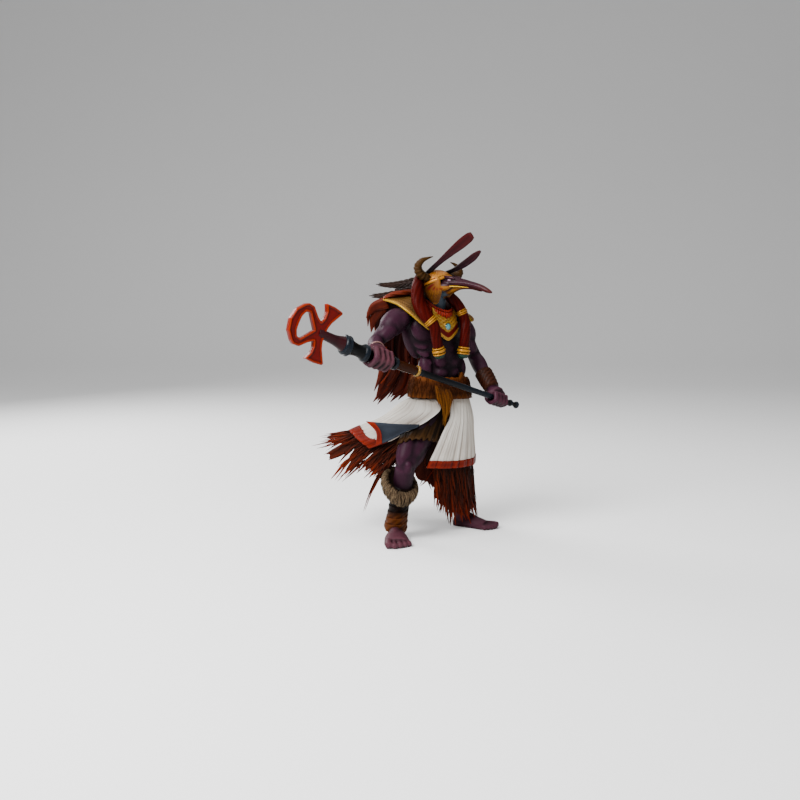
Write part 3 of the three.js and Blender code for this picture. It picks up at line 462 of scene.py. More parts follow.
# The two widths of blur, each with how far off the surface it is looked at, in cells
SHADE_LAYERS = ((1.6, 1.4), (4.0, 3.0))
# How many times the cover of a surface alone has no painted shade yet, and how much more has it all
SHADE_FROM = 1.15
SHADE_RANGE = 1.6


def blurred_along(grid, axis, sigma):
    reach = int(3 * sigma) + 1
    steps = np.arange(-reach, reach + 1)
    weights = np.exp(-0.5 * (steps / sigma) ** 2)
    weights /= weights.sum()
    padded = np.moveaxis(grid, axis, 0)
    out = np.zeros_like(padded)
    for step, weight in zip(steps, weights):
        out += np.roll(padded, step, 0) * weight
    return np.moveaxis(out, 0, axis)


def sampled(grid, cells):
    """The grid's values at fractional cells."""
    low = np.floor(cells).astype(int)
    part = cells - low
    total = np.zeros(len(cells))
    for corner in range(8):
        bits = [(corner >> k) & 1 for k in range(3)]
        index = [np.clip(low[:, k] + bits[k], 0, grid.shape[k] - 1) for k in range(3)]
        share = np.prod([part[:, k] if bits[k] else 1 - part[:, k] for k in range(3)], axis=0)
        total += grid[index[0], index[1], index[2]] * share
    return total


def shade_hollows(pieces):
    """Stores in the attribute wash how closed in each point is, by all the pieces together, for the paint to
    darken as painted shade.
    """
    cell = SHADE_CELL * MM
    margin = 16 * cell
    low = np.array(CAD_BOX[0]) - margin
    shape = np.ceil((np.array(CAD_BOX[1]) + margin - low) / cell).astype(int)
    cover = np.zeros(shape.prod())
    for piece in pieces:
        centres = mesh_array(piece.data.polygons, "center", 3)
        areas = mesh_array(piece.data.polygons, "area", 1).ravel()
        cells = np.clip(((centres - low) / cell).astype(int), 0, shape - 1)
        flat = np.ravel_multi_index(tuple(cells.T), shape)
        cover += np.bincount(flat, areas / cell ** 2, len(cover))
    cover = np.minimum(cover, 1).reshape(shape)
    layers = []
    for sigma, gap in SHADE_LAYERS:
        soft = cover
        for axis in range(3):
            soft = blurred_along(soft, axis, sigma)
        alone = math.exp(-0.5 * (gap / sigma) ** 2) / (sigma * math.sqrt(TAU))
        layers.append((soft, gap * cell, alone))
    for piece in pieces:
        places = places_of(piece)
        normals = mesh_array(piece.data.vertices, "normal", 3)
        wash = 0
        for soft, gap, alone in layers:
            seen = sampled(soft, (places + normals * gap - low) / cell - 0.5)
            wash = wash + 0.5 * np.clip((seen / alone - SHADE_FROM) / SHADE_RANGE, 0, 1)
        store(piece, "wash", wash)


# Locks of hair and fur, all bent from one modelled lock

LOCK_RINGS = 6
LOCK_SIDES = 5


def lock_pattern():
    made = loft("lock", lambda row, angle: Vector((row, angle, 0)), LOCK_RINGS, LOCK_SIDES)
    cells = [(round(v.co.x), v.co.y) for v in made.data.vertices]
    faces = [tuple(face.vertices) for face in made.data.polygons]
    bpy.data.objects.remove(made)
    return cells, faces


def lock_piece(name, locks):
    """One piece from locks given as (line, half width, half thickness, the way they face, tint, first, last),
    where first and last are the places on the coat's length at which the lock starts and ends."""
    cells, pattern = lock_pattern()
    places = []
    faces = []
    along_values = []
    tints = []
    for line, wide, thick, front, tint, first, last in locks:
        stations = []
        for row in range(LOCK_RINGS + 2):
            t = clamp((row - 0.5) / LOCK_RINGS)
            along = heading(line, t, 0.05)
            across = along.cross(front).normalized()
            taper = min(1, 0.4 + 2.4 * t) * (1 - t) ** 0.75 + 0.03
            ends = 0 if row in (0, LOCK_RINGS + 1) else taper
            stations.append((t, spline(line, t), across * wide * ends, across.cross(along) * thick * ends))
        base = len(places)
        for row, angle in cells:
            t, centre, across, ahead = stations[row]
            places.append(centre + across * math.cos(angle) + ahead * math.sin(angle))
            along_values.append(mixed(first, last, t))
            tints.append(tint)
        faces.extend(tuple(base + i for i in face) for face in pattern)
    mesh = bpy.data.meshes.new(name)
    mesh.from_pydata(places, [], faces)
    piece = bpy.data.objects.new(name, mesh)
    bpy.context.scene.collection.objects.link(piece)
    store(piece, "along", along_values)
    store(piece, "tint", tints)
    face_outwards(piece)
    return piece


def locks_on(place, count, seed, span, reach, wide, lift, outside, clear, colour_span, sway=0.02,
             u_range=(0, 1)):
    """Locks that lie down a surface: each starts at a v inside span and runs for reach of the surface."""
    chance = random.Random(seed)
    first_v, last_v = colour_span
    locks = []
    for _ in range(count):
        u = mixed(*u_range, chance.random())
        v = mixed(*span, chance.random())
        run = mixed(*reach, chance.random())
        drift = chance.uniform(-sway, sway)
        size = mixed(*wide, chance.random())
        rise = mixed(*lift, chance.random())
        tint = chance.random()
        line = []
        for step in range(5):
            t = step / 4
            down = v + run * t
            spot = place(clamp(u + drift * t), min(down, 1))
            if down > 1:
                spot = spot + (place(u, 1) - place(u, 0.9)) * ((down - 1) * 10)
            out = facing(place, inside(u), min(down, 0.98)) * outside
            line.append(spot + out * (clear + rise * t * t + 0.5 * math.sin(t * 3 + tint * 6)))
        front = facing(place, inside(u), min(v, 0.98))
        first = (v - first_v) / (last_v - first_v)
        last = (v + run - first_v) / (last_v - first_v)
        locks.append((line, size, size * 0.45, front, tint, first, last))
    return locks


# Nodes

PAINT_DEPTH = 0.33
GRAIN_HEIGHT = 0.0006
STRAND_HEIGHT = 0.0005
HAIR_STREAK = 2600


def tone(code):
    """A linear colour from its usual six-figure web code, darker by PAINT_DEPTH because the studio's light is
    strong. A colour comes back as it is."""
    if not isinstance(code, str):
        return (*code[:3], 1.0)
    channels = [int(code[i:i + 2], 16) / 255 for i in (0, 2, 4)]
    linear = [c / 12.92 if c <= 0.04045 else ((c + 0.055) / 1.055) ** 2.4 for c in channels]
    return (*(c * PAINT_DEPTH for c in linear), 1.0)


class Wires:
    """Adds nodes to a tree. An input is given a number, a colour or another node's output."""

    def __init__(self, tree):
        self.tree = tree

    def add(self, kind, settings=None, sockets=None, **inputs):
        node = self.tree.nodes.new(kind)
        for key, value in (settings or {}).items():
            setattr(node, key, value)
        self.feed(node, {**(sockets or {}), **inputs})
        return node

    def feed(self, node, inputs):
        for key, value in inputs.items():
            socket = node.inputs[key]
            if isinstance(value, bpy.types.NodeSocket):
                self.tree.links.new(value, socket)
            else:
                socket.default_value = value

    def mix(self, factor, a, b, blend="MIX"):
        settings = {"data_type": "RGBA", "blend_type": blend}
        return self.add("ShaderNodeMix", settings, {0: factor, 6: a, 7: b}).outputs[2]

    def math(self, operation, a, b=0.0, limit=False):
        settings = {"operation": operation, "use_clamp": limit}
        return self.add("ShaderNodeMath", settings, {0: a, 1: b}).outputs[0]

    def attribute(self, name):
        return self.add("ShaderNodeAttribute", {"attribute_name": name}).outputs["Fac"]

    def spread(self, value, low, high, start=0.0, end=1.0):
        limits = {"From Min": low, "From Max": high, "To Min": start, "To Max": end}
        return self.add("ShaderNodeMapRange", {"clamp": True}, limits, Value=value).outputs[0]

    def noise(self, scale, detail=4.0, vector=None):
        vector = vector or self.place()
        made = self.add("ShaderNodeTexNoise", Scale=scale, Detail=detail, Roughness=0.6, Vector=vector)
        return made.outputs["Fac"]

    def place(self, kind="Object"):
        return self.add("ShaderNodeTexCoord").outputs[kind]

    def bump(self, strength, distance, height):
        made = self.add("ShaderNodeBump", Strength=strength, Distance=distance, Height=height)
        return made.outputs["Normal"]

    def group(self, tree, **inputs):
        return self.add("ShaderNodeGroup", {"node_tree": tree}, **inputs)


def new_material(name):
    """A material, the wires of its tree and its shader."""
    material = bpy.data.materials.new(name)
    material.use_nodes = True
    return material, Wires(material.node_tree), material.node_tree.nodes["Principled BSDF"]


def node_group(name, inputs, outputs, build):
    """A shader node group, built once. Inputs and outputs are (name, kind, default)."""
    if name in bpy.data.node_groups:
        return bpy.data.node_groups[name]
    tree = bpy.data.node_groups.new(name, "ShaderNodeTree")
    for title, kind, default in inputs:
        socket = tree.interface.new_socket(title, in_out="INPUT", socket_type=kind)
        socket.default_value = default
    for title, kind in outputs:
        tree.interface.new_socket(title, in_out="OUTPUT", socket_type=kind)
    given = tree.nodes.new("NodeGroupInput")
    result = tree.nodes.new("NodeGroupOutput")
    for title, socket in build(Wires(tree), given.outputs).items():
        tree.links.new(socket, result.inputs[title])
    return tree


def relief_shade_and_highlight():
    """Painted shade in the hollows and a painted highlight on the ridges, mottled by noise."""
    def build(wires, given):
        cloud = wires.noise(given["Scale"])
        fine = wires.math("MULTIPLY", wires.math("SUBTRACT", cloud, 0.5), given["Mottle"])
        level = wires.math("ADD", wires.attribute("relief"), fine, limit=True)
        low = wires.spread(level, 0.12, 0.5)
        high = wires.spread(level, 0.52, 0.95)
        colour = wires.mix(low, given["Hollow shade"], given["Paint"])
        return {"Color": wires.mix(high, colour, given["Ridge highlight"]), "Level": level}

    return node_group(
        "Painted relief shade and highlight",
        [
            ("Hollow shade", "NodeSocketColor", (0, 0, 0, 1)),
            ("Paint", "NodeSocketColor", (0.5, 0.5, 0.5, 1)),
            ("Ridge highlight", "NodeSocketColor", (1, 1, 1, 1)),
            ("Scale", "NodeSocketFloat", 200),
            ("Mottle", "NodeSocketFloat", 0.3),
        ],
        [("Color", "NodeSocketColor"), ("Level", "NodeSocketFloat")],
        build,
    )


def painted_sky_light():
    """Painted light on what faces up and to the front left, painted shade on what faces away, and painted
    shade where pieces close in on each other."""
    def build(wires, given):
        normal = wires.add("ShaderNodeNewGeometry").outputs["Normal"]
        facing_sky = wires.add("ShaderNodeVectorMath", {"operation": "DOT_PRODUCT"}, {0: normal, 1: SKY_WAY})
        lit = wires.spread(facing_sky.outputs["Value"], -0.75, 0.95)
        rise = wires.math("MULTIPLY", wires.spread(lit, 0.5, 1.0), given["Amount"])
        bright = wires.mix(rise, given["Color"], given["Light"])
        fall = wires.math("MULTIPLY", wires.spread(lit, 0.55, 0.0), given["Amount"])
        dark = wires.mix(fall, bright, given["Shadow"])
        # Painted shade where pieces close in on each other
        crevice_shade = wires.math("MULTIPLY", wires.attribute("wash"), 0.8)
        return {"Color": wires.mix(crevice_shade, dark, given["Shadow"])}

    return node_group(
        "Painted light and shade",
        [
            ("Color", "NodeSocketColor", (0.5, 0.5, 0.5, 1)),
            ("Light", "NodeSocketColor", (1, 1, 1, 1)),
            ("Shadow", "NodeSocketColor", (0, 0, 0, 1)),
            ("Amount", "NodeSocketFloat", 0.3),
        ],
        [("Color", "NodeSocketColor")],
        build,
    )


def cast_grain():
    """The faint grain and pitting of a painted casting."""
    def build(wires, given):
        grain = wires.noise(given["Scale"], 6.0)
        place = wires.place()
        pits = wires.add("ShaderNodeTexVoronoi", Scale=given["Scale"], Vector=place).outputs["Distance"]
        return {"Height": wires.math("ADD", grain, wires.math("MULTIPLY", pits, 0.4))}

    return node_group(
        "Cast grain",
        [("Scale", "NodeSocketFloat", 900)],
        [("Height", "NodeSocketFloat")],
        build,
    )


def paint(name, hollow, base, ridge_highlight, rough=(0.55, 0.42), metal=0.0, scale=180, mottle=0.3, grain=900,
          bump=0.15, sprayed=0.45, coat=0.0, specular=0.06, layers=(), recolour=None, height=None):
    """A painted finish: its colour turns to painted shade in the hollows and to a painted highlight on the
    ridges, and it has a fine grain. A layer is another paint, given as (attribute, hollow shade, base, ridge
    highlight), that shows where its attribute says."""
    material, wires, shader = new_material(name)

    def relief(low, middle, high):
        tones = {"Hollow shade": tone(low), "Paint": tone(middle), "Ridge highlight": tone(high)}
        return wires.group(relief_shade_and_highlight(), Scale=scale, Mottle=mottle, **tones)

    first = relief(hollow, base, ridge_highlight)
    colour = first.outputs["Color"]
    # The hollow colour also serves as the painted shade, and the ridge colour as the painted light, on what
    # faces away from or towards the light
    light = tone(ridge_highlight)
    shadow = tone(hollow)
    for attribute, low, middle, high in layers:
        mask = wires.attribute(attribute)
        colour = wires.mix(mask, colour, relief(low, middle, high).outputs["Color"])
        light = wires.mix(mask, light, tone(high))
        shadow = wires.mix(mask, shadow, tone(low))
    if recolour:
        colour = recolour(wires, colour)
    # Painted light and shade by which way the surface faces, and painted shade where pieces close in
    lit = wires.group(painted_sky_light(), Color=colour, Light=light, Shadow=shadow, Amount=sprayed)
    form = wires.group(cast_grain(), Scale=grain).outputs["Height"]
    if height:
        form = wires.math("ADD", form, height(wires))
    wires.feed(shader, {
        "Base Color": lit.outputs["Color"],
        "Roughness": wires.spread(first.outputs["Level"], 0.2, 0.9, *rough),
        "Metallic": metal,
        "Specular IOR Level": specular,
        "Coat Weight": coat,
        "Coat Roughness": 0.25,
        "Normal": wires.bump(bump, GRAIN_HEIGHT, form),
    })
    return material


def hair_paint(name, root, middle, tip):
    """Hair that changes colour from its root to its tip, lock by lock."""
    material, wires, shader = new_material(name)
    tint = wires.attribute("tint")
    level = wires.math("ADD", wires.attribute("along"), wires.math("MULTIPLY", tint, 0.35))
    first = wires.mix(wires.spread(level, 0.1, 0.65), tone(root), tone(middle))
    colour = wires.mix(wires.spread(level, 0.55, 1.2), first, tone(tip))
    strands = wires.noise(HAIR_STREAK, 3.0)
    streaks = wires.spread(strands, 0.3, 0.7, 0.6, 1.3)
    shade = wires.math("MULTIPLY", wires.spread(tint, 0, 1, 0.45, 1.35), streaks)
    grey = wires.add("ShaderNodeCombineColor", Red=shade, Green=shade, Blue=shade).outputs[0]
    shaded = wires.mix(1.0, colour, grey, "MULTIPLY")
    # Painted light and shade on the hair by which way it faces
    sprayed = wires.group(painted_sky_light(), Color=shaded, Light=tone(tip), Shadow=tone(HAIR_SHADOW), Amount=0.3)
    wires.feed(shader, {
        "Base Color": sprayed.outputs["Color"],
        "Roughness": 0.7,
        "Specular IOR Level": 0.05,
        "Normal": wires.bump(0.4, STRAND_HEIGHT, strands),
    })
    return material


# Finishes. A paint is the web codes of its painted shade in the hollows, its middle tone and its painted
# highlight on the ridges, which tone() darkens.

# The way the painted light comes from: up, to the front and to the left
SKY_WAY = (-0.42, -0.38, 0.82)
HAIR_SHADOW = "0d0704"
WHITE = (0.62, 0.6, 0.55)
SKIN = ("160912", "281020", "4a2038")
HANDS = ("1a080e", "44202c", "7c4854")
GOLD = ("40260a", "b07410", "ffc21a")
RED = ("240303", "5a0a08", "98190c")
GILT_RED = ("380402", "840c03", "ae1a00")
CHEEK = ("341404", "8e4a0e", "d88c24")
BRONZE = ("2c180a", "86562a", "cc9448")
CAPE = ("180402", "4a120a", "8e300e")


def colours():
    return bpy.context.scene.statue_colours


def gilt_paint(name, codes, metal=0.3, **extra):
    return paint(name, *codes, (0.5, 0.35), metal=metal, scale=260, **extra)


def gold_paint(name):
    return gilt_paint(name, (GOLD[0], colours().gold, GOLD[2]), 0.4, mottle=0.35, bump=0.25, specular=0.2)


def red_paint(name, codes=RED, **extra):
    return paint(name, *codes, scale=220, **extra)


def linen_paint():
    def stained(wires, colour):
        streaks = wires.add("ShaderNodeMapping", Vector=wires.place(), Scale=(1.0, 1.0, 0.12))
        cloud = wires.noise(420.0, 5.0, streaks.outputs["Vector"])
        return wires.mix(wires.spread(cloud, 0.45, 0.8, 0.0, 0.4), colour, tone("f6dcc0"))

    def weave(wires):
        uv = wires.place("UV")
        across, down = (
            wires.add("ShaderNodeTexWave", {"bands_direction": way}, Scale=threads, Vector=uv).outputs["Fac"]
            for way, threads in (("X", 130.0), ("Y", 42.0))
        )
        return wires.math("MULTIPLY", wires.math("ADD", across, down), 0.25)

    return paint("linen_paint", "cdb8a8", colours().linen, WHITE, (0.85, 0.7), scale=90, mottle=0.15,
                 bump=0.25, sprayed=0.5, recolour=stained, height=weave)


def skirt_paint():
    def rusted(wires, colour):
        uv = wires.add("ShaderNodeSeparateXYZ", Vector=wires.place("UV"))
        low = wires.spread(uv.outputs["Y"], 0.45, 0.05)
        patches = wires.spread(wires.noise(120.0), 0.3, 0.7, 0.3, 0.9)
        return wires.mix(wires.math("MULTIPLY", low, patches), colour, tone("6a1a06"))

    return paint("skirt_paint", "0c0502", "2a1204", "54240a", (0.8, 0.65), scale=500, mottle=0.5, bump=0.35,
                 recolour=rusted)


# Torso, arms, legs and feet

# How far from the fists' middles, and how high over the floor, the skin keeps its fine creases
FIST_R_REACH = 17
FIST_L_REACH = 14
FOOT_TOP = 11

# Where the skin's paint is paler, as (place, how far, how much): the hands and the feet
PALER_SKIN = ((FIST_R, FIST_R_REACH, 1), (FIST_L, FIST_L_REACH, 0.45), (TOE_R, 48, 0.85), (TOE_L, 48, 0.45))


def trunk(right, ahead, up):
    """A place on the trunk, which leans from the waist to the chest."""
    middle = CHEST.origin.lerp(WAIST.origin, clamp(-up / 42))
    return at(middle.x, middle.y, CHEST.origin.z + up) + CHEST.right * right + CHEST.front * ahead


def torso():
    sections = [
        (PELVIS(0, 0, -16), (12, 11)),
        (PELVIS(0, -1, -6), (25, 16)),
        (PELVIS(0, 0, 8), (25, 15.5)),
        (WAIST(0, 0, 0), (19, 12)),
        (WAIST(-1, 0, 20), (22, 13.5)),
        (CHEST(0, 0, -2), (29, 16.5)),
        (CHEST(0, 0, 9), (31, 15.5)),
        (CHEST(0, -1, 17), (21, 12)),
        (CHEST(-1, 1, 23), (11, 10)),
    ]
    line = [s[0] for s in sections]
    front = CHEST.front
    pieces = [limb(line, [s[1] for s in sections], front, sides=40, rings=36)]
    for side in (-1, 1):
        def on(right, ahead, up):
            return trunk(side * right, ahead, up)

        pieces += [
            muscle(on(3, 13.5, -1), on(31, 6.5, 5.5), 13, 0.5, front, sides=20),
            muscle(on(30, -5, 6), on(20.5, -6, -27), 7.5, 1, front),
            muscle(on(3, -6, 30), on(31, -6, 13), 8, 1, front),
            muscle(on(20, 3, -24), on(21, 4.5, -46), 6.5, 1, front),
            muscle(on(9, -12, -2), on(7, -12, -44), 5, 0.8, front),
            muscle(on(24, -13, 12), on(8, -14, -6), 7, 0.6, front),
            muscle(on(3.5, 8, -46), on(17, 6, -38), 5.5, 0.7, front),
        ]
        for up, ahead, out in ((-17, 12.8, 6.9), (-29.5, 11.6, 6.8), (-40.5, 10.6, 6.6)):
            pieces.append(muscle(on(out, ahead, up + 6.4), on(out, ahead, up - 6.4), 6.6, 0.58, front))
        for rib in range(3):
            high = on(27.5 - 1.5 * rib, 2, -11 - 7.5 * rib)
            pieces.append(muscle(high, on(19 - rib, 10.8, -16 - 7.5 * rib), 3.6, 0.5, front))
    return pieces


def arm(shoulder, elbow, wrist, chest_side):
    outward = CHEST.right * chest_side
    front = (CHEST.front * 0.6 + outward * 0.4).normalized()
    bend = ((wrist - elbow).normalized() - (elbow - shoulder).normalized()).normalized()

    def upper(t, ahead, out=0.0):
        return shoulder.lerp(elbow, t) + bend * ahead + outward * out

    def fore(t, out, ahead=0.0):
        return elbow.lerp(wrist, t) + outward * out + bend * ahead

    top = shoulder - outward * 4 + UP * 5
    return [
        limb([shoulder, upper(0.5, 0), elbow], [9, 7.6, 6.8], front),
        limb([elbow, elbow.lerp(wrist, 0.3), wrist], [7, 7.6, 5.2], front),
        muscle(top, upper(0.62, 0, 3.5), 12, 1, front, 20),
        muscle(top + CHEST.front * 6, upper(0.5, 3, 1), 8.5, 1, front),
        muscle(top - CHEST.front * 7, upper(0.5, -4, 1), 8.5, 1, front),
        muscle(upper(0.28, 4), upper(0.98, 4), 7.6, 1, front),
        muscle(upper(0.2, -4.5), upper(0.95, -3.5), 7.6, 1, front),
        muscle(upper(0.85, 0, 2.5), fore(0.7, 1.5), 6.6, 1, front),
        muscle(upper(0.95, -3), fore(0.75, -0.5, -2.5), 5.6, 1, front),
    ]


def fist(centre, wrist, size, shaft_radius):
    """A fist closed on the staff: each finger runs straight from knuckle to knuckle, the palm lies behind."""
    towards = centre - wrist
    ahead = (towards - STAFF_AXIS * towards.dot(STAFF_AXIS)).normalized()
    up = STAFF_AXIS.cross(ahead)
    thick = 3.1 * size
    reach = shaft_radius + thick * 0.8

    def around(along, degrees, away):
        angle = math.radians(degrees)
        return centre + STAFF_AXIS * along + ahead * (math.cos(angle) * away) + up * (math.sin(angle) * away)

    def finger(along, radius):
        bends = [around(along, degrees, reach + away * size)
                 for degrees, away in ((112, 2.6), (18, 3.2), (-62, 1.8), (-112, 0.4))]
        line = []
        for start, end in zip(bends, bends[1:]):
            line += [start.lerp(end, 0.13), start.lerp(end, 0.87)]
        sizes = [(radius * 0.92 * (1 - 0.03 * n), radius * (1 - 0.03 * n)) for n in range(len(line))]

        def knuckles(t, angle):
            return 1 + 0.07 * math.cos((t - 0.3) * TAU * 2.5)

        return limb(line, sizes, STAFF_AXIS, 14, 26, 0.5, knuckles)

    def palm(along):
        return around(along * size, 176, reach + 1.5 * size)

    def spread(*pairs):
        return [(a * size, b * size) for a, b in pairs]

    thumb = [
        around(6 * size, 200, reach + 3.4),
        around(9.6 * size, 238, reach + 2),
        around(9.2 * size, 285, reach + 1.4),
    ]
    return [
        finger(8.1 * size, thick),
        finger(2.9 * size, thick * 0.97),
        finger(-2.3 * size, thick * 0.93),
        finger(-7.1 * size, thick * 0.86),
        limb([palm(9), palm(0), palm(-9)], spread((6.5, 6), (7.5, 6.5), (6, 5.5)), up, rings=9),
        limb([wrist, wrist.lerp(palm(0), 0.55), around(0, 150, reach + 2)],
             spread((5.4, 5.4), (8, 6), (9, 6)), up, rings=9),
        limb(thumb, [3.9 * size, 3.3 * size, 2.5 * size], STAFF_AXIS, 12, 12),
    ]


def leg(hip, knee, ankle, side, bare_thigh):
    ahead = (PELVIS.front * 0.8 + at(0, -0.5, 0)).normalized()
    inner = PELVIS.right * -side

    def on(a, b, t, forward, inward):
        return a.lerp(b, t) + ahead * forward + inner * inward

    thigh = [hip, hip.lerp(knee, 0.4), hip.lerp(knee, 0.8), knee]
    shin = [knee, knee.lerp(ankle, 0.35), knee.lerp(ankle, 0.75), ankle]
    pieces = [
        limb(thigh, [17, 15.5, 11, 9.5], ahead, 28),
        limb(shin, [9.5, 9.5, 6.5, 6], ahead, 24),
        muscle(on(knee, ankle, 0.02, -5, 0), on(knee, ankle, 0.62, -4, 0), 8.2, 1, ahead),
    ]
    if bare_thigh:
        pieces += [
            muscle(on(hip, knee, 0.1, 7, 0), on(hip, knee, 0.92, 5, 0), 9.5, 1, ahead, 18),
            muscle(on(hip, knee, 0.25, 3, -9), on(hip, knee, 0.95, 3, -5), 8.5, 1, ahead, 18),
            muscle(on(hip, knee, 0.5, 4, 7), on(hip, knee, 1.02, 3, 5.5), 7.5, 1, ahead, 18),
            muscle(on(hip, knee, 0.3, 2, -11), on(hip, knee, 1.0, 2, -6.5), 9.5, 1, ahead, 18),
            muscle(on(hip, knee, 0.86, 3, -5), on(knee, ankle, 0.1, 3, -5), 6, 1, ahead),
            muscle(on(knee, ankle, -0.1, 6.2, 0), on(knee, ankle, 0.14, 6.2, 0), 4.4, 1, ahead),
            muscle(on(knee, ankle, 0.12, 6, 0), on(knee, ankle, 0.34, 6.5, 0), 3.2, 1, ahead),
        ]
    return pieces


def foot(heel, toe, ankle, side, width=1.0):
    ahead = toe - heel
    ahead.z = 0
    ahead.normalize()
    inner = at(ahead.y, -ahead.x, 0) * (side * width)

    def on(t, inward, height):
        spot = heel.lerp(toe, t) + inner * inward
        return at(spot.x, spot.y, height)

    sole = limb(
        [on(0.02, 0, 3), on(0.25, 0, 3.5), on(0.5, 0.5, 3.5), on(0.76, 0.3, 2)],
        [(6.6, 6.5), (7.2, 8.6), (8.2 * width, 7.6), (9.4 * width, 5.6)], UP, 24, 18,
    )
    joint = limb([ankle + UP * 6, ankle, on(0.24, 0, 5)], [6.2, 7.4, 7], ahead, rings=9)
    instep = limb([ankle + ahead, on(0.42, 1, 8), on(0.68, 1.5, 4)], [5.6, 5, 4], UP, rings=12)
    pieces = [sole, joint, instep, ball(ankle + inner * 5 + UP * 3, PELVIS, (3, 3, 3), 12, 9),
              ball(ankle - inner * 5 + UP, PELVIS, (3, 3, 3), 12, 9)]
    toes = [(6.8, 1, 3.4), (2.9, 1.02, 2.7), (-0.9, 0.98, 2.6), (-4.4, 0.93, 2.5), (-7.6, 0.87, 2.5)]
    for across, reach, radius in toes:
        line = [on(0.68, across * 0.9, radius), on(reach - 0.08, across, radius + 0.6),
                on(reach, across, radius - 0.5)]

        def pads(t, angle):
            return 1 + 0.12 * math.cos((t - 0.9) * TAU)

        pieces.append(limb(line, [radius * 0.9, radius, radius * 0.95], UP, 14, 12, 0.7, pads))
    return pieces


def cut_at_floor(piece):
    """Cuts a skin flat at the floor."""
    select_only([piece])
    bpy.ops.object.mode_set(mode="EDIT")
    bpy.ops.mesh.select_all(action="SELECT")
    bpy.ops.mesh.bisect(plane_co=(0, 0, 0.02), plane_no=(0, 0, 1), use_fill=True, clear_inner=True)
    bpy.ops.object.mode_set(mode="OBJECT")


# Head

def head():
    h = HEAD
    snout_line = [h(0, 6, -0.5), h(0, 16, -0.8), h(0, 28, -0.2), h(0, 40, -1.3), h(0, 52, -4.3),
                  h(0, 58.5, -6.9), h(0, 63, -8.6)]
    snout_sizes = [(9, 7.5), (8, 6.3), (5.8, 4.2), (4.3, 3.1), (3.3, 2.8), (2.6, 2.2), (1.2, 1)]
    jaw_line = [h(0, 8, -8), h(0, 18, -6.5), h(0, 28, -4.4), h(0, 40, -4.4), h(0, 52, -7)]
    jaw_sizes = [(6.5, 5), (5, 3.6), (3.6, 2), (2.6, 1.5), (1.8, 1.1)]
    pieces = [
        limb([CHEST(0, 0, 14), CHEST(0, 3, 27), h(0, -4, -6)], [12, 10.5, 10], CHEST.front),
        ball(h(0, 0, 0), HEAD, (12.5, 15, 11), 32, 21),
        limb(snout_line, snout_sizes, UP, 24, 48, 0.4),
        limb(jaw_line, jaw_sizes, UP, 20, 24),
        muscle(h(0, 14, 5), h(0, 44, -0.4), 2.2, 1, UP, 12, 12),
    ]
    for side in (-1, 1):
        pieces += [
            muscle(h(side * 6.6, 13, 6), h(side * 5.4, 26, 4), 1.7, 1, h.front, 12, 10),
            muscle(h(side * 8, 2, -5), h(side * 6, 22, -2.5), 4.6, 1, h.front),
            muscle(h(side * 7.6, 12, 1), h(side * 5.6, 26, 0.2), 1.5, 1, h.front, 10, 8),
        ]
    return pieces


# The line of the mouth, as (to the side, ahead, up) in the head's frame
LIP_LINE = [at(8.5, 14, -3), at(7, 22, -3.1), at(5.4, 30, -3.3), at(4.2, 40, -4.2), at(3.4, 50, -6.6),
            at(2.4, 60, -9.6)]


def lips():
    """A fine gilt lip along each side of the mouth."""
    lines = []
    for side in (-1, 1):
        line = [HEAD(side * p.x, p.y, p.z) for p in LIP_LINE[:4]]
        lines.append(limb(line, [0.75, 0.75, 0.6, 0.3], UP, 10, 50))
    return join("lips", lines)


def gilding(piece):
    """Says where a piece of the head is gilt, where it is striped red and where the neck is blue-grey, the
    throat's skin in painted shade.
    """
    across, ahead, up = HEAD.measure(places_of(piece))
    mouth = np.interp(ahead, [p.y for p in LIP_LINE], [p.z for p in LIP_LINE])
    edge = 9 + (4.5 - up) * 0.75
    behind = np.clip((edge - ahead) / 0.8, 0, 1)
    below = np.clip((mouth + 0.4 - up) / 0.5, 0, 1) * np.clip((36 - ahead) / 12, 0, 1)
    low = np.clip((mouth + 2.6 - up) / 1.6, 0, 1) * np.clip((ahead - 20) / 14, 0, 1)
    # The blue-grey of the neck is painted shade: the throat's skin as it shows in shade
    neck_shade = np.clip((-8.5 - up + 0.25 * (ahead - 8)) / 1.2, 0, 1) * np.clip((16 - ahead) / 2, 0, 1)
    back = 12.5 - ahead
    reach = np.hypot(back, up)
    fan = np.sin(np.arctan2(up + 1, np.maximum(back, 0.01)) * 12 + reach * 0.5)
    striped = np.clip(fan * 3 + 0.4, 0, 1) * np.clip((reach - 4) / 2, 0, 1) * np.clip((up + 7.5) / 2, 0, 1)
    store(piece, "maroon", np.maximum(low, np.clip((ahead - 46) / 14, 0, 1)))
    store(piece, "gilt", np.maximum(behind, below))
    store(piece, "stripes", striped * behind)
    store(piece, "neck_shade", neck_shade)


def ear(root, tip, widths, sag):
    """A long ear, flat like a blade, that widens and then ends square."""
    faces = (HEAD.right * 0.55 + FORWARD * 0.6).normalized()
    line = [root.lerp(tip, t) + at(0, 0, sag * t * (1 - t)) for t in (0, 0.25, 0.52, 0.78, 0.92, 0.985)]
    sizes = [(wide, thick) for wide, thick in zip(widths, (2.8, 2.2, 1.9, 1.7, 1.5, 1.2))]

    def hollow(t, angle):
        return 1 - 0.45 * max(0, math.sin(angle)) ** 3 * math.sin(min(1, t * 1.15) * math.pi) ** 0.5

    return limb(line, sizes, faces, 36, 56, 0.3, hollow)


# Headdress

CAP_HALF = (14, 16.5, 12)
CAP_ROWS = 21
CAP_FLUTES = 26
HORN_RINGS = 13


def cap_spot(angle, share, grow=0.0):
    """A place on the cap: its rim comes down to the brow in front and lower behind."""
    front = 0.5 + 0.5 * math.sin(angle)
    polar = mixed(0.62, 0.35, front ** 1.5) * math.pi * share
    ring = math.sin(polar)
    across, deep, high = (half + grow for half in CAP_HALF)
    return HEAD(ring * math.cos(angle) * across, ring * math.sin(angle) * deep + 1,
                math.cos(polar) * high + 0.3)


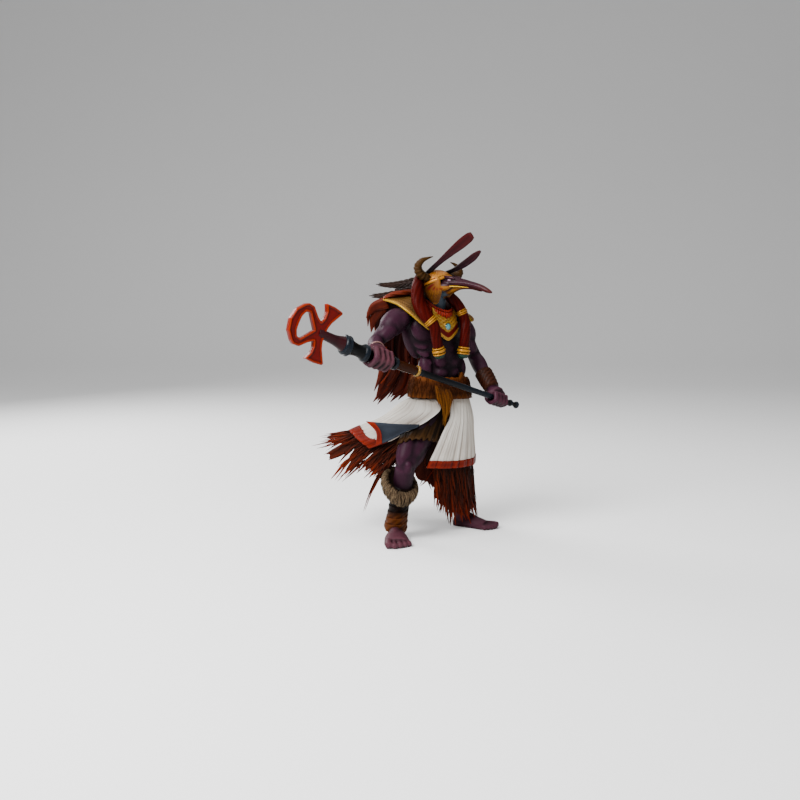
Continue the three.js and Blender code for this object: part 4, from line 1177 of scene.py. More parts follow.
def cap():
    def place(row, angle):
        if row == CAP_ROWS + 1:
            return HEAD(0, -2, -4)
        flutes = 0.22 * math.cos(angle * CAP_FLUTES) * math.sin(row / CAP_ROWS * math.pi)
        return cap_spot(angle, row / CAP_ROWS, flutes)

    dome = loft("cap", place, CAP_ROWS, 4 * CAP_FLUTES)
    band = hoop(lambda angle: cap_spot(angle, 0.97, 0.3), (0.9, 1.5), 96)
    cord = hoop(lambda angle: cap_spot(angle, 0.82, 0.2), (0.5, 0.5), 96)
    return join("headdress_cap", [dome, band, cord])


def horn(line):
    def rings(t, angle):
        return 1 + (0.42 * (t * HORN_RINGS % 1) - 0.14) * (1 - t) * smooth(t * 8)

    return limb(line, [3.6, 3.9, 3.6, 2.6, 1.4, 0.4], UP, 24, 90, 0.5, rings)


def horns():
    near = [(12.5, 0, 4), (20, -3.5, 8.5), (22.5, -4.5, 15), (20.5, -1.5, 20.5), (17, 2, 22.8), (13, 6, 24.5)]
    far = [(-10, 3, 5), (-17, 7, 5.5), (-24, 10, 8.5), (-25, 9.5, 13.5), (-20.5, 7, 17.5), (-16.5, 5, 19.5)]
    return join("horns", [horn([HEAD(*spot) for spot in line]) for line in (near, far)])


def cheek(side):
    """A gilt cheek cloth that falls in strands to the throat."""
    back = 0 if side > 0 else 4.5
    line = [HEAD(side * 10.5, 2, 4), HEAD(side * 10.5, 3 - back / 3, -5), HEAD(side * 8, 3.5 - back, -12),
            HEAD(side * 5, 4 - back, -19)]

    def strands(t, angle):
        low = smooth((t - 0.3) * 3)
        rows = (t * 8 + 0.5 * abs(math.sin(angle * 8))) % 1
        return 1 + low * (0.17 * abs(math.sin(angle * 16 + math.sin(t * 9))) + 0.03 * (rows - 0.5))

    sizes = [(10.5, 2.9), (10.8, 3.1), (7, 3), (2.4, 2.2)]
    return limb(line, sizes, HEAD.right, 120, 84, 0.5, strands)


def plait(root, tip, radius):
    """A plait of stacked saw-toothed knots, tapering to a bare tip."""
    line = [root.lerp(tip, t) + at(0, 0, -8 * t * (1 - t)) for t in (0, 0.35, 0.7, 1)]
    knots = 8
    parts = []
    for n in range(knots):
        start = n / (knots + 1.5)
        size = radius * (1 - 0.75 * n / knots)
        middle = spline(line, start + 0.08)
        along = heading(line, start + 0.08)
        across = along.cross(UP).normalized()
        rise = across.cross(along)
        for side in (-1, 1):
            root_of = spline(line, max(0, start - 0.03)) - (rise * side + across * 0.3) * (size * 0.2)
            end = spline(line, min(1, start + 0.2)) + (rise * side + across * 0.4 * side) * (size * 0.85)
            bend = middle + (rise * side + across * 0.4 * side) * (size * 0.75)
            parts.append(limb([root_of, bend, end], [size * 0.5, size * 0.52, 0.35], across, 14, 14))
    parts.append(limb(line, [radius * 0.5, radius * 0.42, radius * 0.28, 0.4], UP, 14, 40))
    return parts


def lappet_line(right):
    if right:
        return [HEAD(14, -8, 6), at(16.5, -49, 239.5), at(17.5, -53, 226.5), at(23.5, -56.5, 215),
                at(31.5, -57, 205), at(34, -56, 193), at(37.2, -53, 178)]
    return [HEAD(-10, -5, 4), at(48.2, -31, 231.1), at(55.3, -31, 223.6), at(62, -31, 209),
            at(62.5, -34, 195.1), at(60.7, -35, 176.8)]


def lappet(right):
    """A twisted lock that falls to the chest: red cords, gold rings halfway and at its end, a green tip."""
    line = lappet_line(right)

    def cords(t, angle):
        return 1 + 0.075 * abs(math.cos(4 * (angle + 0.7 * t * TAU))) + 0.012 * math.sin(t * 260)

    wide = (6.2, 7, 5.6) if right else (5, 5, 4.8)
    cloth_sizes = [(4.8, 4.2), *((half, 4.5) for half in wide), (4.8, 4.1), (4.9, 4.2)]
    cloth = limb(line, cloth_sizes, CHEST.front, 48, 130, 0.3, cords)
    rings = []
    middle, grip = (0.6, 6) if right else (0.5, 5.2)
    for t, radius, tube in (
        (middle - 0.022, grip, 0.6), (middle, grip + 0.2, 0.9), (middle + 0.022, grip, 0.6),
        (0.935, 5.3, 0.8), (0.965, 5.6, 1.5), (0.995, 5.8, 0.8),
    ):
        rings.append(ring_band(spline(line, t), heading(line, t), CHEST.front, (radius, radius * 0.86),
                               (tube * 0.8, tube)))
    end = spline(line, 1)
    axis = heading(line, 1)
    tip = limb([end - axis * 0.5, end + axis * 1.5, end + axis * 3.5], [(5.4, 4.8), (5.3, 4.6), (4.2, 3.7)],
               CHEST.front, 28, 10, 0.35)
    return cloth, rings, tip


# Collar, mantle and stone

STONE_RADIUS = 3.6
STONE_AT = CHEST(-2.5, 19.5, 4)


def yoke_place(u, v):
    angle = (u - 0.5) * TAU * 0.98
    across = math.sin(angle)
    ahead = -math.cos(angle)
    reach = mixed(12, 22 + 10 * across * across, v)
    rise = 23 + 7 * across * across - 2 * v - 9 * v * v
    return CHEST(-across * reach, -2 + ahead * min(reach * 0.75, 19), rise)


PLATE_MIDDLE = -2.5
PLATE_EDGE = 2.8
PLATE_BAND = 8
DROP_BEADS = 27


def plate_edge(x):
    """How low the breast piece reaches, at x from its middle line: it ends in a rounded V."""
    return -9.1 + 0.76 * (math.hypot(x, 2) - 2)


def plate_spot(x, up, lift):
    ahead = 15.5 + 3.9 * smooth((20 - up) / 18) - 0.012 * x * x + lift
    return CHEST(PLATE_MIDDLE - x, ahead, up)


def plate_band(name, low, high, lift, thickness, feathers=0.0):
    """A band of the breast piece between two heights over its edge. Without a high it runs to the neck."""
    def place(u, v):
        side = (u - 0.5) * 2
        top = 15 + 8 * side * side
        x = side * mixed(14, 12.3, v)
        edge = plate_edge(x)
        up = mixed(edge + high if high else top, edge + low, v)
        rows = ((up - edge) / 3.4 + 0.45 * abs(math.sin(x * 0.95))) % 1
        return plate_spot(x, up, lift + feathers * (1 - rows))

    return sheet(name, place, 90, 60 if feathers else 14, thickness)


def bead_row():
    """A row of long drop beads under a cord of round ones."""
    line = [CHEST(18, 3, 33), CHEST(13, 9, 27), CHEST(7, 14, 21), CHEST(-3, 17, 17.5), CHEST(-12, 13, 20),
            CHEST(-15, 5, 26)]
    beads = []
    for i in range(DROP_BEADS):
        spot = spline(line, (i + 0.5) / DROP_BEADS)
        out = (spot - CHEST(-1, 0, spot.z - CHEST.origin.z)).normalized()
        long = 6.5 if i % 2 else 5
        beads.append(ball(spot + out * 0.9 + UP * 1.2, CHEST, (1.2, 1.2, 1.2), 10, 7))
        beads.append(muscle(spot + out * 0.9 + UP * 0.4, spot + out * 1.7 - UP * long, 1.25, 1, out, 8, 7))
    return join("drop_beads", beads)


MANTLE_COLUMNS = [
    [(-15.5, -37, 229), (-13, -32, 231)],
    [(-4, -46, 225.5), (3, -36, 231)],
    [(4.5, -52.5, 220), (14, -40, 229)],
    [(14, -55.5, 212.5), (24, -50, 220)],
    [(27.4, -54, 201), (30, -53, 204)],
]


LEFT_MANTLE_COLUMNS = [
    [(50, -12, 222), (46, -18, 224)],
    [(60, -14, 217), (57, -22, 218)],
    [(68.5, -19, 212), (66, -26, 211)],
    [(71, -23, 209), (69, -27, 207.5)],
]


def mantle():
    """The gilt bands over the shoulders: a chased field between two raised edges."""
    fields = []
    edges = []
    for columns, length in ((MANTLE_COLUMNS, 60), (LEFT_MANTLE_COLUMNS, 24)):
        place = surface(columns)

        def chased(u, v):
            out = facing(place, inside(u), inside(v))
            out = out if out.z > 0 else -out
            row = (v * 4 + 0.5 * abs(math.sin(u * length))) % 1
            return place(u, v) + out * (0.5 * row)

        fields.append(sheet("mantle_field", chased, 150, 22, 2.2))
        for v in (0.0, 1.0):
            line = [place(i / 12, v) for i in range(13)]
            edges.append(limb(line, [1.25] * 11 + [1, 0.7], UP, 12, 60))
    return join("mantle_fields", fields), join("mantle_edges", edges)


def stone_setting():
    around = STONE_RADIUS + 0.9
    seat = ring_band(STONE_AT + CHEST.front * 0.4, CHEST.front, UP, (around, around), (0.9, 1.2), 48)
    back = limb([STONE_AT - CHEST.front * 4, STONE_AT - CHEST.front * 0.6],
                [STONE_RADIUS + 1.6, STONE_RADIUS + 1.4], UP, 32, 6, 0.05)
    return join("stone_setting", [seat, back])


def stone():
    """A domed stone, cut with a ring of soft facets."""
    def place(row, angle):
        polar = row / 14 * math.pi
        ring = math.sin(polar) * (1 + 0.012 * math.cos(angle * 8))
        out = math.cos(polar) * (2.6 if row < 7 else 1.4)
        across = CHEST.right * math.cos(angle) + UP * math.sin(angle)
        return STONE_AT + across * (ring * STONE_RADIUS) + CHEST.front * out

    return loft("collar_stone_cut", place, 13, 48)


# Cape

CAPE_COLUMNS = [
    [(6, -37, 221), (-12, -33, 227.5), (-24, -28, 217), (-24, -18, 198), (-9, -12, 163), (-24, -6, 138)],
    [(10, -28, 223), (2, -21, 219), (-8, -10, 198), (-9, -3, 176), (-2, 0, 157), (-24, 2, 128)],
    [(18, -20, 222), (14, -9, 212), (8, 0, 192), (6, 4, 172), (7, 5, 154), (-8, 6, 128)],
    [(30, -12, 222), (28, -4, 210), (24, 2, 190), (21, 5, 170), (19, 6, 152), (10, 8, 130)],
    [(42, -7, 218), (42, 1, 206), (40, 5, 188), (36, 7, 168), (33, 7, 152), (28, 8, 136)],
    [(54, -4, 214), (55, 2, 202), (52, 6, 186), (47, 7, 168), (43, 7, 152), (40, 7, 140)],
]
CAPE_TONGUES = 6


def torn(u, count, depth, seed=0.0):
    """How far down a torn hem reaches at u: it is cut into count pointed tongues of different lengths."""
    shifted = u + 0.012 * math.sin(u * count * 9 + seed)
    wave = abs(((shifted * count + 0.5) % 1) * 2 - 1)
    longer = 0.5 + 0.5 * math.sin((int(shifted * count + 0.5) + seed) * 2.4)
    return 1 - depth * wave ** 1.2 - 0.35 * longer * depth


def cape():
    cloth = surface(CAPE_COLUMNS)

    def down(u, v):
        return v * torn(u, CAPE_TONGUES, 0.3)

    def folds(u, v):
        turn = u * TAU
        wide = math.sin(turn * 4) * 1.5
        return wide + math.sin(turn * 11 + 2 * v) * 0.5 + math.sin(turn * 23 + 5 * v) * 0.2

    parts = [
        sheet("cape_cloth", waved(cloth, down, folds), 198, 70, 1.6),
        tongue([at(-12, -33, 226), at(-25, -30, 221), at(-32.5, -30, 211)], 5.5),
        tongue([at(-16, -30, 222), at(-25, -27, 210), at(-28, -26, 197)], 5),
        tongue([at(-20, -28, 222), at(-29, -28, 217), at(-31, -28, 203)], 3),
        limb([at(-15, -37, 229.5), at(-8, -38, 233), at(1, -38, 234.5), at(11, -36, 236)],
             [(2.4, 2), (3.2, 2.6), (3.4, 3), (3, 2.6)], UP, 28, 40, 0.5,
             lambda t, angle: 1 + 0.09 * math.sin(angle * 5 + t * 14)),
    ]
    chance = random.Random(3)
    for i in range(10):
        u = 0.02 + i * 0.07
        base = cloth(u, 0.66 + 0.1 * chance.random())
        tip = cloth(u, 1.0) + at(chance.uniform(-6, 2), chance.uniform(-1, 4), chance.uniform(-5, 4))
        middle = base.lerp(tip, 0.55) + at(2.5, chance.uniform(-2, 1), -2)
        parts.append(tongue([base, middle, tip], chance.uniform(3.2, 4.8)))
    return join("cape", parts)


def tongue(line, half_width):
    """A narrow torn end of cloth."""
    thick = 1.1
    sizes = [(half_width, thick), (half_width * 0.8, thick * 0.8), (0.35, 0.3)]

    def creased(t, angle):
        return 1 + 0.12 * math.cos(angle * 6) * (1 - t)

    return limb(line, sizes, FORWARD, 24, 26, 0.5, creased)


# Belt and tuft

BELT_ACROSS = 32.5
BELT_DEEP = 19
BELT_SHIFT = 3.5
TAB_AT = 330
BELT_LOCKS = 620
TUFT_LOCKS = 290


def belt_point(degrees, grow, up):
    angle = math.radians(degrees)
    across = math.sin(angle) * (BELT_ACROSS + grow) + BELT_SHIFT
    return PELVIS(across, math.cos(angle) * (BELT_DEEP + grow), up)


def belt_place(u, v):
    """The outside of the hide belt: u once round it, v from its top to its bottom."""
    degrees = u * 360 + 180
    angle = math.radians(degrees)
    tab = smooth(1 - abs(degrees % 360 - TAB_AT) / 9) * (1 - v)
    up = mixed(23.5, 3.2, v) + 2.1 * math.sin(angle) + 5.5 * tab
    bulge = mixed(-3.0, 1.4, v ** 0.8)
    return belt_point(degrees, bulge, up)


def belt():
    def place(u, v):
        rag = 0.035 * math.sin(u * TAU * 31) + 0.02 * math.sin(u * TAU * 53)
        return belt_place(u, clamp(v + rag * (2 * v - 1)))

    return sheet("hide_belt", place, 240, 20, 3.4)


def tuft():
    """The tuft of long hair that hangs from the front of the belt."""
    chance = random.Random(11)
    middle = [at(37, -47.5, 151), at(42, -52, 139), at(43.5, -56.5, 127), at(40.5, -62, 105)]
    locks = []
    for _ in range(TUFT_LOCKS):
        side = chance.uniform(-1, 1)
        deep = chance.uniform(-1, 1)
        length = chance.uniform(0.5, 1.0) * (1 - 0.35 * abs(side))
        start = chance.uniform(0, 0.35)
        line = []
        for step in range(5):
            t = start + (length - start) * step / 4
            bow = math.sin(min(1, 0.35 + t * 0.85) * math.pi * 0.78)
            spread = 8.4 * bow + math.sin(t * 9 + side * 4) * 0.6
            line.append(spline(middle, t) + PELVIS.right * (side * spread) + PELVIS.front * (deep * 1.8))
        locks.append((line, chance.uniform(0.5, 0.95), 0.5, PELVIS.front, chance.random(), start, length))
    return lock_piece("belt_tuft", locks)


# Kilt

# Each column starts on the belt, at the angle that comes first, and goes down to the hem
KILT_COLUMNS = [[belt_point(degrees, -1, 4), *below] for degrees, *below in (
    (32, (38.6, -56, 127), (26.7, -63, 116.6), (8.4, -64, 106.4), (-6, -60, 97.6), (-29, -48, 87.5)),
    (62, (17, -58, 124), (4, -55, 113), (-12, -50, 104), (-27, -45, 98), (-39, -42, 94)),
    (95, (6, -42, 126), (-8, -38, 116), (-20, -33, 109), (-34, -30, 104), (-47, -32, 100)),
    (125, (-1, -22, 126.5), (-14, -16, 115), (-24, -11, 109), (-36, -8, 104), (-48.5, -14, 99.5)),
    (150, (8, -6, 124), (-2, 2, 112), (-13, 7, 103), (-25, 9, 97), (-37, 9, 93.5)),
    (180, (25, 2, 119), (19, 11, 104), (13, 18, 93), (6, 22, 85), (-3, 25, 79)),
    (215, (45, 6, 118), (43, 14, 101), (40, 19, 87), (36, 22, 77), (32, 24, 68.5)),
    (250, (63, 1, 116), (65, 8, 100), (65, 13, 86), (63.5, 17, 76), (62, 19, 66)),
    (280, (71, -11, 114), (72, -6, 97), (73, -2, 84), (73.5, 1, 76), (73.5, 3, 67)),
    (312, (67.5, -32, 114), (68.5, -33, 98), (69, -33, 86), (69, -33, 77), (68.5, -33, 68)),
    (340, (57, -47, 115), (54, -51, 99), (51.5, -52, 87), (49.5, -53, 78), (47, -53, 69)),
    (365, (47.6, -52, 119.2), (40.2, -58, 103.5), (34, -61, 90), (29.5, -62, 80), (25.5, -62, 71)),
)]
PLEATS = 26
HEM_START = 0.84


def pleated(cloth, grow=0.0):
    def place(u, v):
        spot = cloth(u, v)
        out = spot - PELVIS(0, 0, 0)
        out.z = 0
        out.normalize()
        wander = 0.35 * math.sin(u * 37) + 0.2 * math.sin(u * 91 + 1)
        crest = abs(((u * PLEATS + wander) % 1) * 2 - 1)
        depth = (0.45 + 0.75 * v) * (1.35 if int(u * PLEATS + wander) % 3 else 0.8)
        fine = 0.12 * math.sin(u * PLEATS * TAU * 3)
        return spot + out * (grow + depth * (0.5 - crest ** 2.2) + fine)

    return place


def kilt():
    cloth = surface(KILT_COLUMNS)
    linen = sheet("kilt_linen", pleated(cloth), 390, 56, 1.5)
    hem_surface = pleated(cloth, 0.15)

    def hem_place(u, v):
        return hem_surface(u, mixed(HEM_START, 1.003, v))

    return linen, sheet("kilt_hem", hem_place, 390, 8, 2.3)


FLAP_COLUMNS = [
    [(18.5, -65, 112.8), (17.5, -65.5, 111.5), (16, -66, 110)],
    [(2, -63.5, 112.8), (3, -65.5, 109.5), (5, -67, 106)],
    [(-13, -58, 113), (-11, -62, 106.5), (-7.5, -64, 98.5)],
    [(-32, -50, 113.8), (-22, -55, 104), (-22.5, -54, 90.5)],
]


def flap():
    """The corner of the kilt that is turned back and shows its lining, with its red border."""
    cloth = surface(FLAP_COLUMNS)
    lining = sheet("kilt_lining", cloth, 60, 20, 1.6)

    def border_place(u, v):
        return cloth(mixed(0.865, 1.004, u), v) + at(0, -0.2, 0)

    return lining, sheet("kilt_flap_border", border_place, 16, 20, 2.6)


# Under-skirt and loin cloth

SKIRT_COLUMNS = [
    [(33, -52, 125), (24, -63, 108), (2, -65, 88), (-8, -62, 73), (-16, -58, 58)],
    [(24, -54, 122), (10, -60, 106), (-10, -56, 88), (-22, -52, 75), (-33, -47, 62)],
    [(16, -54, 119), (-2, -51, 105), (-22, -44, 92), (-42, -40, 76), (-59, -36, 58)],
    [(4, -38, 120), (-14, -32, 108), (-34, -28, 98), (-52, -29, 87), (-71, -30, 76)],
    [(2, -30, 120), (-14, -22, 109), (-34, -18, 99), (-56, -20, 93), (-79, -20, 85.5)],
    [(1, -20, 120), (-14, -10, 110), (-35, -8, 99), (-54, -4, 95), (-75, 0, 90)],
    [(10, -8, 118), (-4, 3, 106), (-21, 8, 93), (-35, 13, 84), (-52, 18, 74)],
    [(24, 1, 116), (17, 10, 100), (7, 18, 82), (-1, 24, 67), (-10, 30, 50)],
    [(44, 5, 114), (41, 13, 96), (36, 19, 74), (33, 24, 55), (30, 28, 34)],
    [(60, 1, 112), (61, 8, 94), (61, 14, 70), (62, 18, 46), (64, 22, 20)],
    [(67, -9, 110), (69, -3, 92), (70.5, 1, 68), (73, 4, 38), (76, 6, 11)],
    [(63, -28, 110), (65, -27, 92), (65, -26, 68), (66, -21, 38), (69, -13, 13)],
    [(53, -41, 110), (51, -43, 92), (49, -43, 70), (50, -35, 42), (50, -25, 15)],
    [(46, -49, 110), (40, -52, 92), (33, -52, 72), (34, -45, 52), (33, -36, 32)],
]
SKIRT_TONGUES = 13


def under_skirt():
    cloth = surface(SKIRT_COLUMNS)

    def down(u, v):
        return v * torn(u, SKIRT_TONGUES, mixed(0.32, 0.16, smooth(u * 5 - 2.2)), 1.7)

    def ripple(u, v):
        return 0.8 * math.sin(u * TAU * 19 + 3 * v) + 0.35 * math.sin(u * TAU * 47)

    base = sheet("under_skirt", waved(cloth, down, ripple), 340, 50, 1.8)
    outside = 1 if facing(cloth, 0.95, 0.5).y < 0 else -1
    clear = 1.2
    hair = (0.25, 1.1)
    locks = locks_on(cloth, 420, 5, (0.25, 0.82), (0.18, 0.32), (1.1, 2.7), (0.6, 2.6), outside, clear, hair)
    locks += locks_on(cloth, 420, 9, (0.2, 0.9), (0.14, 0.22), (0.8, 1.6), (0.8, 2.6), outside, clear, hair,
                      u_range=(0.6, 1))
    locks += locks_on(cloth, 190, 6, (0.5, 0.8), (0.16, 0.24), (0.8, 1.6), (0.2, 1.4), -outside, clear, hair)
    long_lock = [at(-8, -60, 80), at(-20, -57, 62), at(-29, -53, 43), at(-35, -50, 25)]
    for n in range(5):
        spread = at((n - 2) * 1.6, (n % 3) * 0.8, (n - 2) * 1.2)
        line = [p + spread * (1 - 0.5 * i / 3) for i, p in enumerate(long_lock)]
        wide = 2.2 if n == 2 else 1.4
        locks.append((line[:1] + line[1:4 if n % 2 else 3], wide, 0.9, FORWARD, n / 5, 0.4, 1.0))
    return base, lock_piece("skirt_locks", locks)


LOIN_COLUMNS = [
    [(12, -45, 115), (3, -59, 106), (-3, -72, 94)],
    [(22, -46, 131), (15, -58.5, 112), (8, -75, 99)],
    [(34, -46, 131), (28, -58.5, 113), (21, -74.5, 99)],
    [(44, -44, 131), (38, -53, 113), (31, -64, 95)],
    [(52, -38, 131), (46, -46, 113), (42, -51, 80)],
    [(59, -29, 131), (56, -38, 112), (49, -44, 88)],
]


def loin_cloth():
    cloth = surface(LOIN_COLUMNS)

    def place(u, v):
        ripple = 0.7 * math.sin(u * TAU * 7 + v * 2) + 0.3 * math.sin(u * TAU * 19)
        down = v * (1 - 0.06 * abs(math.sin(u * 23)) - 0.03 * math.sin(u * 71))
        return cloth(u, down) + at(0, ripple * v, 0)

    return sheet("loin_cloth", place, 110, 30, 1.8)


# Shin wraps, fur cuff and wrist pieces

CUFF_LOCKS = 1000
SHIN_AXIS = (ANKLE_R - KNEE_R).normalized()
SHIN_ACROSS = SHIN_AXIS.cross(PELVIS.front).normalized()
SHIN_AHEAD = SHIN_ACROSS.cross(SHIN_AXIS).normalized()


def shin_wraps():
    """Leather straps wound up the shin, each turn lying over the one below."""
    line = [KNEE_R.lerp(ANKLE_R, t) for t in (0.3, 0.5, 0.68, 0.86, 1.05)]

    def wound(t, angle):
        turn = (t * 7 + 0.22 * math.sin(angle) + angle / TAU) % 1
        return 1 + 0.075 * (0.5 - turn) + 0.018 * math.sin(angle * 9 + t * 40)

    return limb(line, [11.3, 10.4, 9.6, 10.2, 11.4], PELVIS.front, 72, 140, 0.3, wound, name="shin_wraps")


def cuff_point(angle, down, out):
    tilt = 6 * math.sin(angle)
    return (KNEE_R + at(-2.5, 0, 0) + SHIN_AXIS * (down + tilt) + SHIN_ACROSS * (math.cos(angle) * out)
            + SHIN_AHEAD * (math.sin(angle) * out))


# The cuff's base and its coat of fur, from the inner edge outwards: down from the knee, out from the shin
CUFF_RINGS = [(18, 0), (17, 10.5), (15.5, 12.4), (15.6, 14.4), (17.5, 15.8), (20.5, 16), (23.5, 14.8),
              (26, 12.8), (27.5, 11.2), (26, 0)]
CUFF_COAT = [at(17, 11.5, 0), at(15.2, 12.6, 0), at(15.2, 14.6, 0), at(17.5, 16.4, 0), at(21, 16.8, 0),
             at(24.5, 15.4, 0), at(26.8, 13.2, 0), at(28.6, 12, 0)]


def fur_cuff():
    base = loft("fur_cuff_base", lambda row, angle: cuff_point(angle, *CUFF_RINGS[row]), 8, 48)
    chance = random.Random(21)
    locks = []
    for _ in range(CUFF_LOCKS):
        angle = chance.random() * TAU
        start = chance.uniform(0, 0.75)
        run = chance.uniform(0.26, 0.4)
        drift = chance.uniform(-0.14, 0.14)
        raised = chance.uniform(0.3, 1.2)
        line = []
        for step in range(4):
            t = step / 3
            along = min(start + run * t, 1)
            way = heading(CUFF_COAT, along)
            spot = spline(CUFF_COAT, along) + at(-way.y, way.x, 0) * (raised + 1.2 * t * t)
            line.append(cuff_point(angle + drift * t, spot.x + 1.2 * t * t, spot.y))
        front = SHIN_ACROSS * math.cos(angle) + SHIN_AHEAD * math.sin(angle)
        first = start * 0.5
        locks.append((line, chance.uniform(0.5, 1.0), 0.45, front, chance.random(), first, first + 0.75))
    return base, lock_piece("fur_cuff", locks)


def bracer():
    line = [ELBOW_L.lerp(WRIST_L, t) for t in (0.58, 0.84, 1.1)]

    def wound(t, angle):
        turn = (t * 5 + 0.5 * math.sin(angle + 1) + angle / TAU) % 1
        return 1 + 0.11 * (0.5 - turn) + 0.02 * math.sin(angle * 8 + t * 30)

    return limb(line, [8.4, 8.2, 7.4], CHEST.front, 64, 90, 0.3, wound, name="bracer")


def bangle():
    axis = (WRIST_R - ELBOW_R).normalized()
    centre = ELBOW_R.lerp(WRIST_R, 0.82)
    rings = [ring_band(centre + axis * step, axis, UP, (6.9, 6.9), (0.7, 0.8)) for step in (-1.2, 0.4)]
    return join("bangle", rings)


# Staff

# The staff's turned pieces, each as its rings of (distance along the staff, radius), from the ankh down
STAFF_RINGS = {
    "staff_stem": [(ANKH_ALONG + 1, 3.6), (ANKH_ALONG - 4, 4.2), (56, 4.3), (50, 4.6), (45, 5.6), (41, 6.9),
        (40, 7)],
    "staff_grip": [(41.2, 6.2), (40.4, 8.2), (39, 9.2), (37.6, 8.4), (36.6, 8.8), (35.2, 9.4), (34, 8.6),
        (33.2, 7.2), (29, 6), (25, 5.5), (22, 5.9), (19.6, 6.5), (18.8, 7.6), (17.6, 8.2), (16.6, 7.4),
        (15.6, 8.1), (14.8, 7.6), (14.2, 4.6), (-13.8, 4.2), (-14.2, 5.2), (-15, 5.9), (-16.2, 5.4),
        (-17.2, 5.9), (-18, 5.2), (-18.4, 4.3)],
    "staff_section": [(-18.2, 4), (-19, 4.3), (-26, 4.5), (-34, 4.3), (-40.2, 4.3), (-40.6, 3)],
    "staff_ring": [(-40.2, 3.6), (-40.4, 4.8), (-41.2, 5.3), (-42.3, 5.3), (-43, 4.8), (-43.3, 3.4)],
    "staff_shaft": [(-43, 3.2), (-44, 3.2), (-50, 3), (-FIST_SPAN + 15, 2.7), (-FIST_SPAN - 14, 2.4),
        (-FIST_SPAN - 14.4, 3.1), (-FIST_SPAN - 15.7, 3.4), (-FIST_SPAN - 17, 3.1),
        (-FIST_SPAN - 17.6, 2.1), (-FIST_SPAN - 19.5, 1.9), (-FIST_SPAN - 21, 2.2),
        (-FIST_SPAN - 22.4, 3.2), (-FIST_SPAN - 23.8, 3.6), (-FIST_SPAN - 25.2, 3), (-FIST_SPAN - 26, 1.6)],
}


ANKH_HALF = [(-13.5, 23), (-12.6, 24.6), (-4.5, 25.8), (4.6, 25.4), (1.6, 19), (1.4, 13), (3, 9), (7.5, 12),
             (14, 18.4), (19.5, 18.9), (23, 16.8), (28.8, 9.8), (31, 0)]
ANKH_FOOT = [(-7.2, -12), (-5.6, -7), (-5.2, -4.2), (-5.2, 4.2), (-5.6, 7), (-7.2, 12)]
ANKH_HOLE = [(6.4, 0), (15.6, -11.6), (19.2, -11), (21.4, -6.4), (21.8, 0), (21.4, 6.4), (19.2, 11),
             (15.6, 11.6)]


def ankh_outlines():
    return [ANKH_HALF + [(x, -y) for x, y in reversed(ANKH_HALF[:-1])] + ANKH_FOOT, ANKH_HOLE]


def from_outline(places, outlines):
    """How far each place lies from the nearest line of the outlines, seen square on."""
    nearest = np.full(len(places), 1e9)
    for points in outlines:
        for (ax, ay), (bx, by) in zip(points, points[1:] + points[:1]):
            edge = np.array((bx - ax, by - ay))
            local = places[:, :2] - (ax, ay)
            t = np.clip(local @ edge / (edge @ edge), 0, 1)
            nearest = np.minimum(nearest, np.hypot(*(local - t[:, None] * edge).T))
    return nearest


def ankh():
    """The flat ankh, with a raised rim round a sunken middle. Its outline's x runs along the staff."""
    curve = bpy.data.curves.new("ankh", "CURVE")
    curve.dimensions = "2D"
    curve.fill_mode = "BOTH"
    curve.extrude = ANKH_THICKNESS / 2 - ANKH_BEVEL
    curve.bevel_depth = ANKH_BEVEL
    curve.bevel_resolution = 3
    curve.offset = -ANKH_BEVEL
    for points in ankh_outlines():
        loop = curve.splines.new("POLY")
        loop.points.add(len(points) - 1)
        for place, (x, y) in zip(loop.points, points):
            place.co = (x, y, 0, 1)
        loop.use_cyclic_u = True
    made = bpy.data.objects.new("ankh", curve)
    bpy.context.scene.collection.objects.link(made)
    select_only([made])
    bpy.ops.object.convert(target="MESH")
    made = bpy.context.object
    apply_modifier(made, "WELD", merge_threshold=0.02)
    face_outwards(made)
    apply_modifier(made, "REMESH", mode="VOXEL", voxel_size=0.5, use_smooth_shade=True)
    places = places_of(made)
    depth = from_outline(places, ankh_outlines())
    sunk = np.clip((depth - ANKH_RIM) / 0.9, 0, 1)
    faces = np.clip((np.abs(places[:, 2]) - ANKH_THICKNESS / 2 + 0.8) / 0.4, 0, 1)
    places[:, 2] -= np.sign(places[:, 2]) * sunk * faces * ANKH_SUNK
    made.data.vertices.foreach_set("co", places.ravel())
    made.data.update()
    apply_modifier(made, "SMOOTH", factor=0.5, iterations=2)
    tilted = (on_staff(ANKH_ALONG + 6) - on_staff(ANKH_ALONG - 6)).normalized()
    across = STAFF_SIDE.cross(tilted).normalized()
    turn = Matrix((tilted, across, STAFF_SIDE)).transposed().to_4x4()
    made.data.transform(Matrix.Translation(on_staff(ANKH_ALONG)) @ turn)
    # The raised rim is painted lighter than the middle: a painted highlight along the ankh's edges
    store(made, "rim_highlight", (1 - sunk) * np.clip(faces + 0.4, 0, 1))
    return made


# Sizes and colours that a user would change

def size_property(title, description, default, least):
    return FloatProperty(name=title, description=description, default=default, min=least, max=3)


class StatueSizes(bpy.types.PropertyGroup):
    skin_voxel: size_property("Skin detail", "Size of the skin's faces, in millimetres", 0.9, 0.5)
    head_voxel: size_property("Head detail", "Size of the head's faces, in millimetres", 0.55, 0.4)


def colour_property(title, description, code):
    return FloatVectorProperty(
        name=title, description=description, subtype="COLOR", size=4, default=tone(code), min=0, max=1
    )


class StatueColours(bpy.types.PropertyGroup):
    skin: colour_property("Skin", "Paint of the skin", SKIN[1])
    gold: colour_property("Gold", "Paint of the gilt parts", GOLD[1])
    linen: colour_property("Linen", "Paint of the kilt", (0.5, 0.47, 0.42))
    enamel: colour_property("Enamel", "Paint of the staff's head", "8c0c04")


class StatuePiece:
    """What the operators share: each models one piece or a group of like pieces."""

    bl_options = {"REGISTER", "UNDO"}


